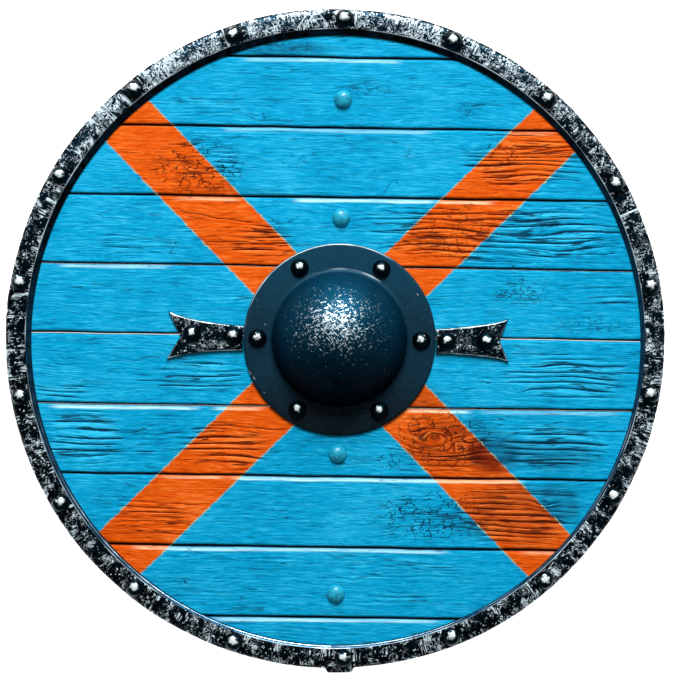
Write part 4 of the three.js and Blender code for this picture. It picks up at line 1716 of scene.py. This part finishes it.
@dataclass
class Strap:
    """A short iron strap beside the boss, widening to a fishtail."""

    name: str
    side: int
    drop: float
    tilt: float
    reach: float
    notch: float
    tip_half_width: float
    rivets: tuple[Spot, ...]
    seed: int
    thickness: float = 3.0
    bevel: float = 1.3
    root_half_width: float = 11.3
    waist: float = 137.0
    waist_half_width: float = 13.0
    start: float = 81.0
    root: float = 89.0
    cut_radius: float = 89.6

    def placed(self, out: Array, up: Array) -> tuple[Array, Array]:
        """Turns the strap's own directions, out and up, into places on the shield."""
        turn = math.radians(self.tilt)
        off = out - self.root
        x = BOSS_CENTRE[0] + self.side * (self.root + off * math.cos(turn) - up * math.sin(turn))
        y = BOSS_CENTRE[1] + self.drop + off * math.sin(turn) + up * math.cos(turn)
        return x, y

    def rivet_spots(self) -> list[Spot]:
        """Where the strap's rivets are."""
        return [self.placed(out, up) for out, up in self.rivets]

    def half_width(self, out: Array) -> Array:
        """Half the strap's width at a distance from the boss's centre, on its hollow curve."""
        a = self.start - 2 * self.waist + self.reach
        b = 2 * (self.waist - self.start)
        c = self.start - out
        share = (-b + np.sqrt(np.maximum(b * b - 4 * a * c, 0))) / (2 * a)
        root, waist, tip = self.root_half_width, self.waist_half_width, self.tip_half_width
        return root * (1 - share) ** 2 + 2 * waist * share * (1 - share) + tip * share**2

    def build(self, iron: bpy.types.Material) -> None:
        """Makes the strap.

        Args:
            iron: Its material.
        """
        seat = PLANK_FRONT + FIT
        shape, count = slab(72, 38, seat, seat + self.thickness)
        for face in shape.faces:
            face.material_index = 0
        form = Form(f"iron_{self.name}", shape)
        places = form.places
        u = (places[:, 0] + 1) / 2
        v = np.sign(places[:, 1]) * (1 - (1 - np.abs(places[:, 1])) ** 1.35)
        near = np.sqrt(self.cut_radius**2 - (v * self.root_half_width) ** 2)
        far = self.notch + (self.reach - self.notch) * np.abs(v)
        out = near + (far - near) * u
        width = self.half_width(out)
        # Hammered edges: the outline wavers a little.
        width = width * (1 + 0.02 * drift(out, v * 0 + 5, (9.0, 1.0), self.seed, 2))
        up = v * width
        x, y = self.placed(out, up)
        to_side = width - np.abs(up)
        to_end = (far - out) * 0.8
        edge = np.minimum(to_side, to_end)
        fall = np.clip(1 - edge / self.bevel, 0, 1)
        pits = 0.22 * drift(x, y, (4.5, 4.5), self.seed + 1, 2)
        pits += 0.12 * drift(x, y, (1.8, 1.8), self.seed + 2)
        z = seat + self.thickness - 1.2 * fall**1.2 + pits * (1 - fall)
        front = np.arange(len(x)) < count
        places[:, 0], places[:, 1] = x, y
        places[front, 2] = z[front]
        form.move(places)
        shine = 0.7 + 0.4 * drift(x, y, (11.0, 11.0), self.seed + 3, 2)
        shine *= np.where(to_end < to_side, 0.75, 1.0)
        lip = np.exp(-(((edge - 0.9) / 0.6) ** 2)) * shine
        silver_and_light = 0.12 + 0.25 * drift(x, y, (12.0, 12.0), self.seed + 4, 2)
        form.note("worn", np.clip(lip * 0.9, 0, 1) * front)
        form.note("silver_and_light", np.clip(silver_and_light, 0, 1) * (1 - fall))
        piece = form.finish([iron], 50.0)
        hand_over(piece, "blackened_iron", self.name)


STRAPS = (
    Strap("strap_left", -1, -0.3, 1.4, 159.0, 146.5, 22.5, ((98.5, 2.0), (136.5, 2.6)), 41),
    Strap("strap_right", 1, -0.4, 1.5, 156.0, 148.0, 20.0, ((99.5, -0.4), (136.0, -0.4)), 51),
)


# ---- Rivets -------------------------------------------------------------------------------------


@dataclass(frozen=True)
class Rivet:
    """A rivet with a hand-forged domed head, peened or sunk behind."""

    head_radius: float = 8.5
    head_height: float = 6.0
    shank_radius: float = 2.5
    tail_radius: float = 4.4
    tail_height: float = 1.6
    steps: int = 36

    def profile(self, seat: float, tail: Profile) -> Profile:
        """The rivet's section from its tail to its crown.

        Args:
            seat: Height that the head sits on.
            tail: (radius, height) pairs from the shank down.

        Returns:
            The section, starting and ending on the axis.
        """
        steps = 9
        head = []
        for i in range(steps + 1):
            turn = math.radians(90 * i / steps)
            radius = self.head_radius * math.cos(turn) ** 0.92
            head.append((radius if i < steps else 0.0, seat + self.head_height * math.sin(turn)))
        return [*reversed(tail), (self.shank_radius, seat), *head]

    def peened(self, back_face: float) -> Profile:
        """The tail of a rivet hammered over behind a face at this height."""
        top = back_face - FIT
        middle = top - self.tail_height * 0.55
        return [
            (self.shank_radius, top),
            (self.tail_radius, top),
            (self.tail_radius * 0.8, middle),
            (0.0, top - self.tail_height),
        ]

    def sunk(self, depth: float) -> Profile:
        """The tail of a rivet that ends in the grip's countersink."""
        return [(self.shank_radius, depth), (self.tail_radius, FIT * 2), (0.0, FIT * 2)]

    def build(
        self,
        node: str,
        spot: Spot,
        seat: float,
        tail: Profile,
        finish: bpy.types.Material,
        slot: str,
        crown_highlight_reach: float,
        seed: int,
    ) -> None:
        """Makes one rivet.

        Args:
            node: The solid that it stands for.
            spot: Where it is.
            seat: Height that its head sits on.
            tail: Its tail's section, from the shank down.
            finish: Its material.
            slot: The record's material slot.
            crown_highlight_reach: How far from the crown its head is painted bright, a painted highlight over
                worn metal.
            seed: Seed of its hammer marks.
        """
        form = Form(f"{node}_forged", turned(self.profile(seat + FIT, tail), self.steps, spot))
        places = form.places
        x, y, z = places.T
        head = smooth(z, seat + FIT, seat + FIT + 0.8)
        dx, dy = x - spot[0], y - spot[1]
        uneven = 1 - 0.035 * head * (1 + drift(dx, dy, (6.0, 6.0), seed, 1))
        marks = 0.3 * drift(dx, dy, (3.6, 3.6), seed + 1, 2) - 0.25
        places[:, 0], places[:, 1] = spot[0] + dx * uneven, spot[1] + dy * uneven
        places[:, 2] = z + head * marks
        form.move(places)
        # Painted highlight: the crown is painted bright a little above its middle, over worn metal.
        crown = np.exp(-((np.hypot(dx + 0.4, (dy - 1.6) * 1.2) / crown_highlight_reach) ** 2))
        form.note("silver_and_light", np.clip(head * crown, 0, 1))
        hand_over(form.finish([finish], 60.0), slot, node)


@dataclass
class Rivets:
    """Every rivet of the shield."""

    grip_heights: tuple[float, ...] = (221.5, 112.0, -107.0, -236.5)
    countersink_depth: float = 3.6

    def grip_spots(self) -> list[Spot]:
        """Where the rivets that hold the grip are."""
        return [(BOSS_CENTRE[0], height) for height in self.grip_heights]

    def build(self, rim: Rim, boss: Boss, straps: Sequence[Strap]) -> None:
        """Makes them all.

        Args:
            rim: The rim, which knows its rivets' spots.
            boss: The boss, which knows its own.
            straps: The straps, which know theirs.
        """
        iron = ForgedHead().material()
        paint = PaintedIron().material()
        rivet = Rivet()
        behind = rivet.peened(PLANK_BACK)
        plate = PLANK_FRONT + FIT
        rows: list[tuple[str, Spot, float, Profile, bpy.types.Material, str, float]] = []
        for i, spot in enumerate(rim.rivet_spots()):
            tail = rivet.peened(rim.back_face)
            rows.append(
                (f"rim_rivet_{i + 1:02d}", spot, rim.crown, tail, iron, "blackened_iron", 5.2)
            )
        for i, spot in enumerate(boss.rivet_spots()):
            rows.append(
                (f"boss_rivet_{i + 1}", spot, boss.flange_top, behind, iron, "blackened_iron", 3.7)
            )
        for strap in straps:
            for i, spot in enumerate(strap.rivet_spots()):
                name = f"{strap.name}_rivet_{i + 1}"
                rows.append(
                    (name, spot, plate + strap.thickness, behind, iron, "blackened_iron", 4.0)
                )
        for i, spot in enumerate(self.grip_spots()):
            tail = rivet.sunk(self.countersink_depth)
            rows.append(
                (f"grip_rivet_{i + 1}", spot, PLANK_FRONT, tail, paint, "painted_iron", 4.0)
            )
        for seed, row in enumerate(rows):
            rivet.build(*row, seed=600 + seed * 3)


# ---- Grip ---------------------------------------------------------------------------------------


@dataclass
class Grip:
    """The wooden bar across the back: squared under the boards, rounded over the hand hole."""

    half_length: float = 262.0
    half_width: float = 17.0
    end_half_width: float = 13.0
    hand_half_width: float = 14.5
    hand_height: float = 24.0
    hand_half_length: float = 34.0
    square_from: float = 52.0
    end_bevel_length: float = 14.0
    end_bevel_rise: float = 5.0
    corner_power: float = 7.0  # how square the bar is under the boards: 2 is round
    sides: int = 40
    stations: int = 110

    def build(self) -> None:
        """Makes the bar by drawing a round section along its length."""
        wood = BareWood(
            "riven_ash_worn_by_the_hand", 0x9A7148, 0x4E3420, (1 / 2.0, 1 / 70, 1 / 2.0), 0.55
        ).material()
        shape = bmesh.new()
        turn = Matrix.Rotation(math.radians(90), 4, "X")
        first = bmesh.ops.create_circle(
            shape, cap_ends=True, segments=self.sides, radius=1.0, matrix=turn
        )
        bmesh.ops.translate(shape, verts=first["verts"], vec=(0.0, -1.0, 0.0))
        faces = list(shape.faces)
        for _ in range(self.stations):
            drawn = bmesh.ops.extrude_face_region(shape, geom=faces, use_keep_orig=False)["geom"]
            faces = [item for item in drawn if isinstance(item, bmesh.types.BMFace)]
            corners = [item for item in drawn if isinstance(item, bmesh.types.BMVert)]
            bmesh.ops.translate(shape, verts=corners, vec=(0.0, 2.0 / self.stations, 0.0))
        form = Form("wooden_grip", shape)
        places = form.places
        x, z = places[:, 0], places[:, 2]
        y = places[:, 1] * self.half_length
        far = np.abs(y)
        round_share = 1 - smooth(far, self.hand_half_length, self.square_from)
        power = self.corner_power + (2.0 - self.corner_power) * round_share
        spread = (np.abs(x) ** power + np.abs(z) ** power) ** (-1 / power)
        taper = self.half_width + (self.end_half_width - self.half_width) * far / self.half_length
        half_width = taper + (self.hand_half_width - taper) * round_share
        high = (PLANK_BACK - FIT) + (self.hand_height - PLANK_BACK + FIT) * round_share
        bevel = smooth(far, self.half_length - self.end_bevel_length, self.half_length + 4)
        low = self.end_bevel_rise * bevel
        whittled = 0.25 * drift(places[:, 0] * 20, y, (14.0, 30.0), 61, 2)
        whittled *= 0.3 + 0.7 * round_share
        places[:, 0] = BOSS_CENTRE[0] + x * spread * half_width + whittled * np.sign(x)
        places[:, 1] = BOSS_CENTRE[1] + y
        places[:, 2] = low + (high - low) * (1 + z * spread) / 2
        form.move(places)
        hand_over(form.finish([wood], 50.0), "bare_wood", "grip")


# ---- Studio -------------------------------------------------------------------------------------


@dataclass
class Studio:
    """Camera, pale floor and soft light."""

    seen_width: float = 628.1  # width of the view at the shield's front, in mm
    front_height: float = 28.0
    lens: float = 126.0
    sensor: float = 36.0
    turn: float = 0.85  # degrees
    key_off_vertical: float = 51.0
    key_distance: float = 4.2
    key_size: float = 2.2
    key_power: float = 285.0
    sky_strength: float = 0.2
    floor_colour: int = 0xF4F4F4
    floor_glow: float = 1.1

    def camera(self) -> None:
        """Hangs the camera straight over the boss."""
        data = bpy.data.cameras.new("camera")
        data.lens = self.lens
        data.sensor_width = self.sensor
        data.dof.use_dof = False
        made = bpy.data.objects.new("camera", data)
        above = self.seen_width / 2 * self.lens / (self.sensor / 2) + self.front_height
        made.location = (BOSS_CENTRE[0] * MM, BOSS_CENTRE[1] * MM, above * MM)
        made.rotation_euler = (0.0, 0.0, math.radians(self.turn))
        bpy.context.scene.collection.objects.link(made)
        bpy.context.scene.camera = made

    def light(self) -> None:
        """Lights the shield from beyond its top, with a weak even sky."""
        data = bpy.data.lights.new("window", "AREA")
        data.shape = "SQUARE"
        data.size = self.key_size
        data.energy = self.key_power
        made = bpy.data.objects.new("window", data)
        lean = math.radians(self.key_off_vertical)
        towards = Vector((0.03, math.sin(lean), math.cos(lean))).normalized()
        made.location = towards * self.key_distance
        made.rotation_euler = towards.to_track_quat("Z", "Y").to_euler()
        bpy.context.scene.collection.objects.link(made)
        world = bpy.data.worlds.new("sky")
        world.use_nodes = True
        sky = world.node_tree.nodes["Background"]
        sky.inputs["Color"].default_value = (1.0, 1.0, 1.0, 1.0)
        sky.inputs["Strength"].default_value = self.sky_strength
        bpy.context.scene.world = world
        bpy.context.scene.view_settings.view_transform = "Standard"

    def floor(self) -> None:
        """Lays a pale matt floor, which glows a little so that shadows stay soft."""
        shape = bmesh.new()
        bmesh.ops.create_grid(shape, x_segments=1, y_segments=1, size=12.0)
        mesh = bpy.data.meshes.new("floor")
        shape.to_mesh(mesh)
        shape.free()
        tree = Tree("matt_white_paper")
        mesh.materials.append(
            tree.finish(
                {
                    "Base Color": linear(self.floor_colour),
                    "Roughness": 0.9,
                    "Emission Color": (1.0, 1.0, 1.0, 1.0),
                    "Emission Strength": self.floor_glow,
                }
            )
        )
        made = bpy.data.objects.new("floor", mesh)
        bpy.context.scene.collection.objects.link(made)

    def build(self) -> None:
        """Sets up the studio."""
        self.camera()
        self.light()
        self.floor()


def main() -> None:
    """Loads the frame, builds every sub-assembly in order, and keeps the sizes."""
    logging.basicConfig(level=logging.INFO, format="%(name)s: %(message)s")
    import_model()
    Studio().build()
    Boards().build()
    rim, boss = Rim(), Boss()
    rim.build()
    boss.build()
    iron = BlackenedIron(
        "wrought_iron_pitted_straps",
        0x071820,
        0x123442,
        line_pitch=3.4,
        line_share=0.055,
        speck_pitch=1.8,
    ).material()
    for strap in STRAPS:
        strap.build(iron)
    Rivets().build(rim, boss, STRAPS)
    Grip().build()


if __name__ == "__main__":
    main()
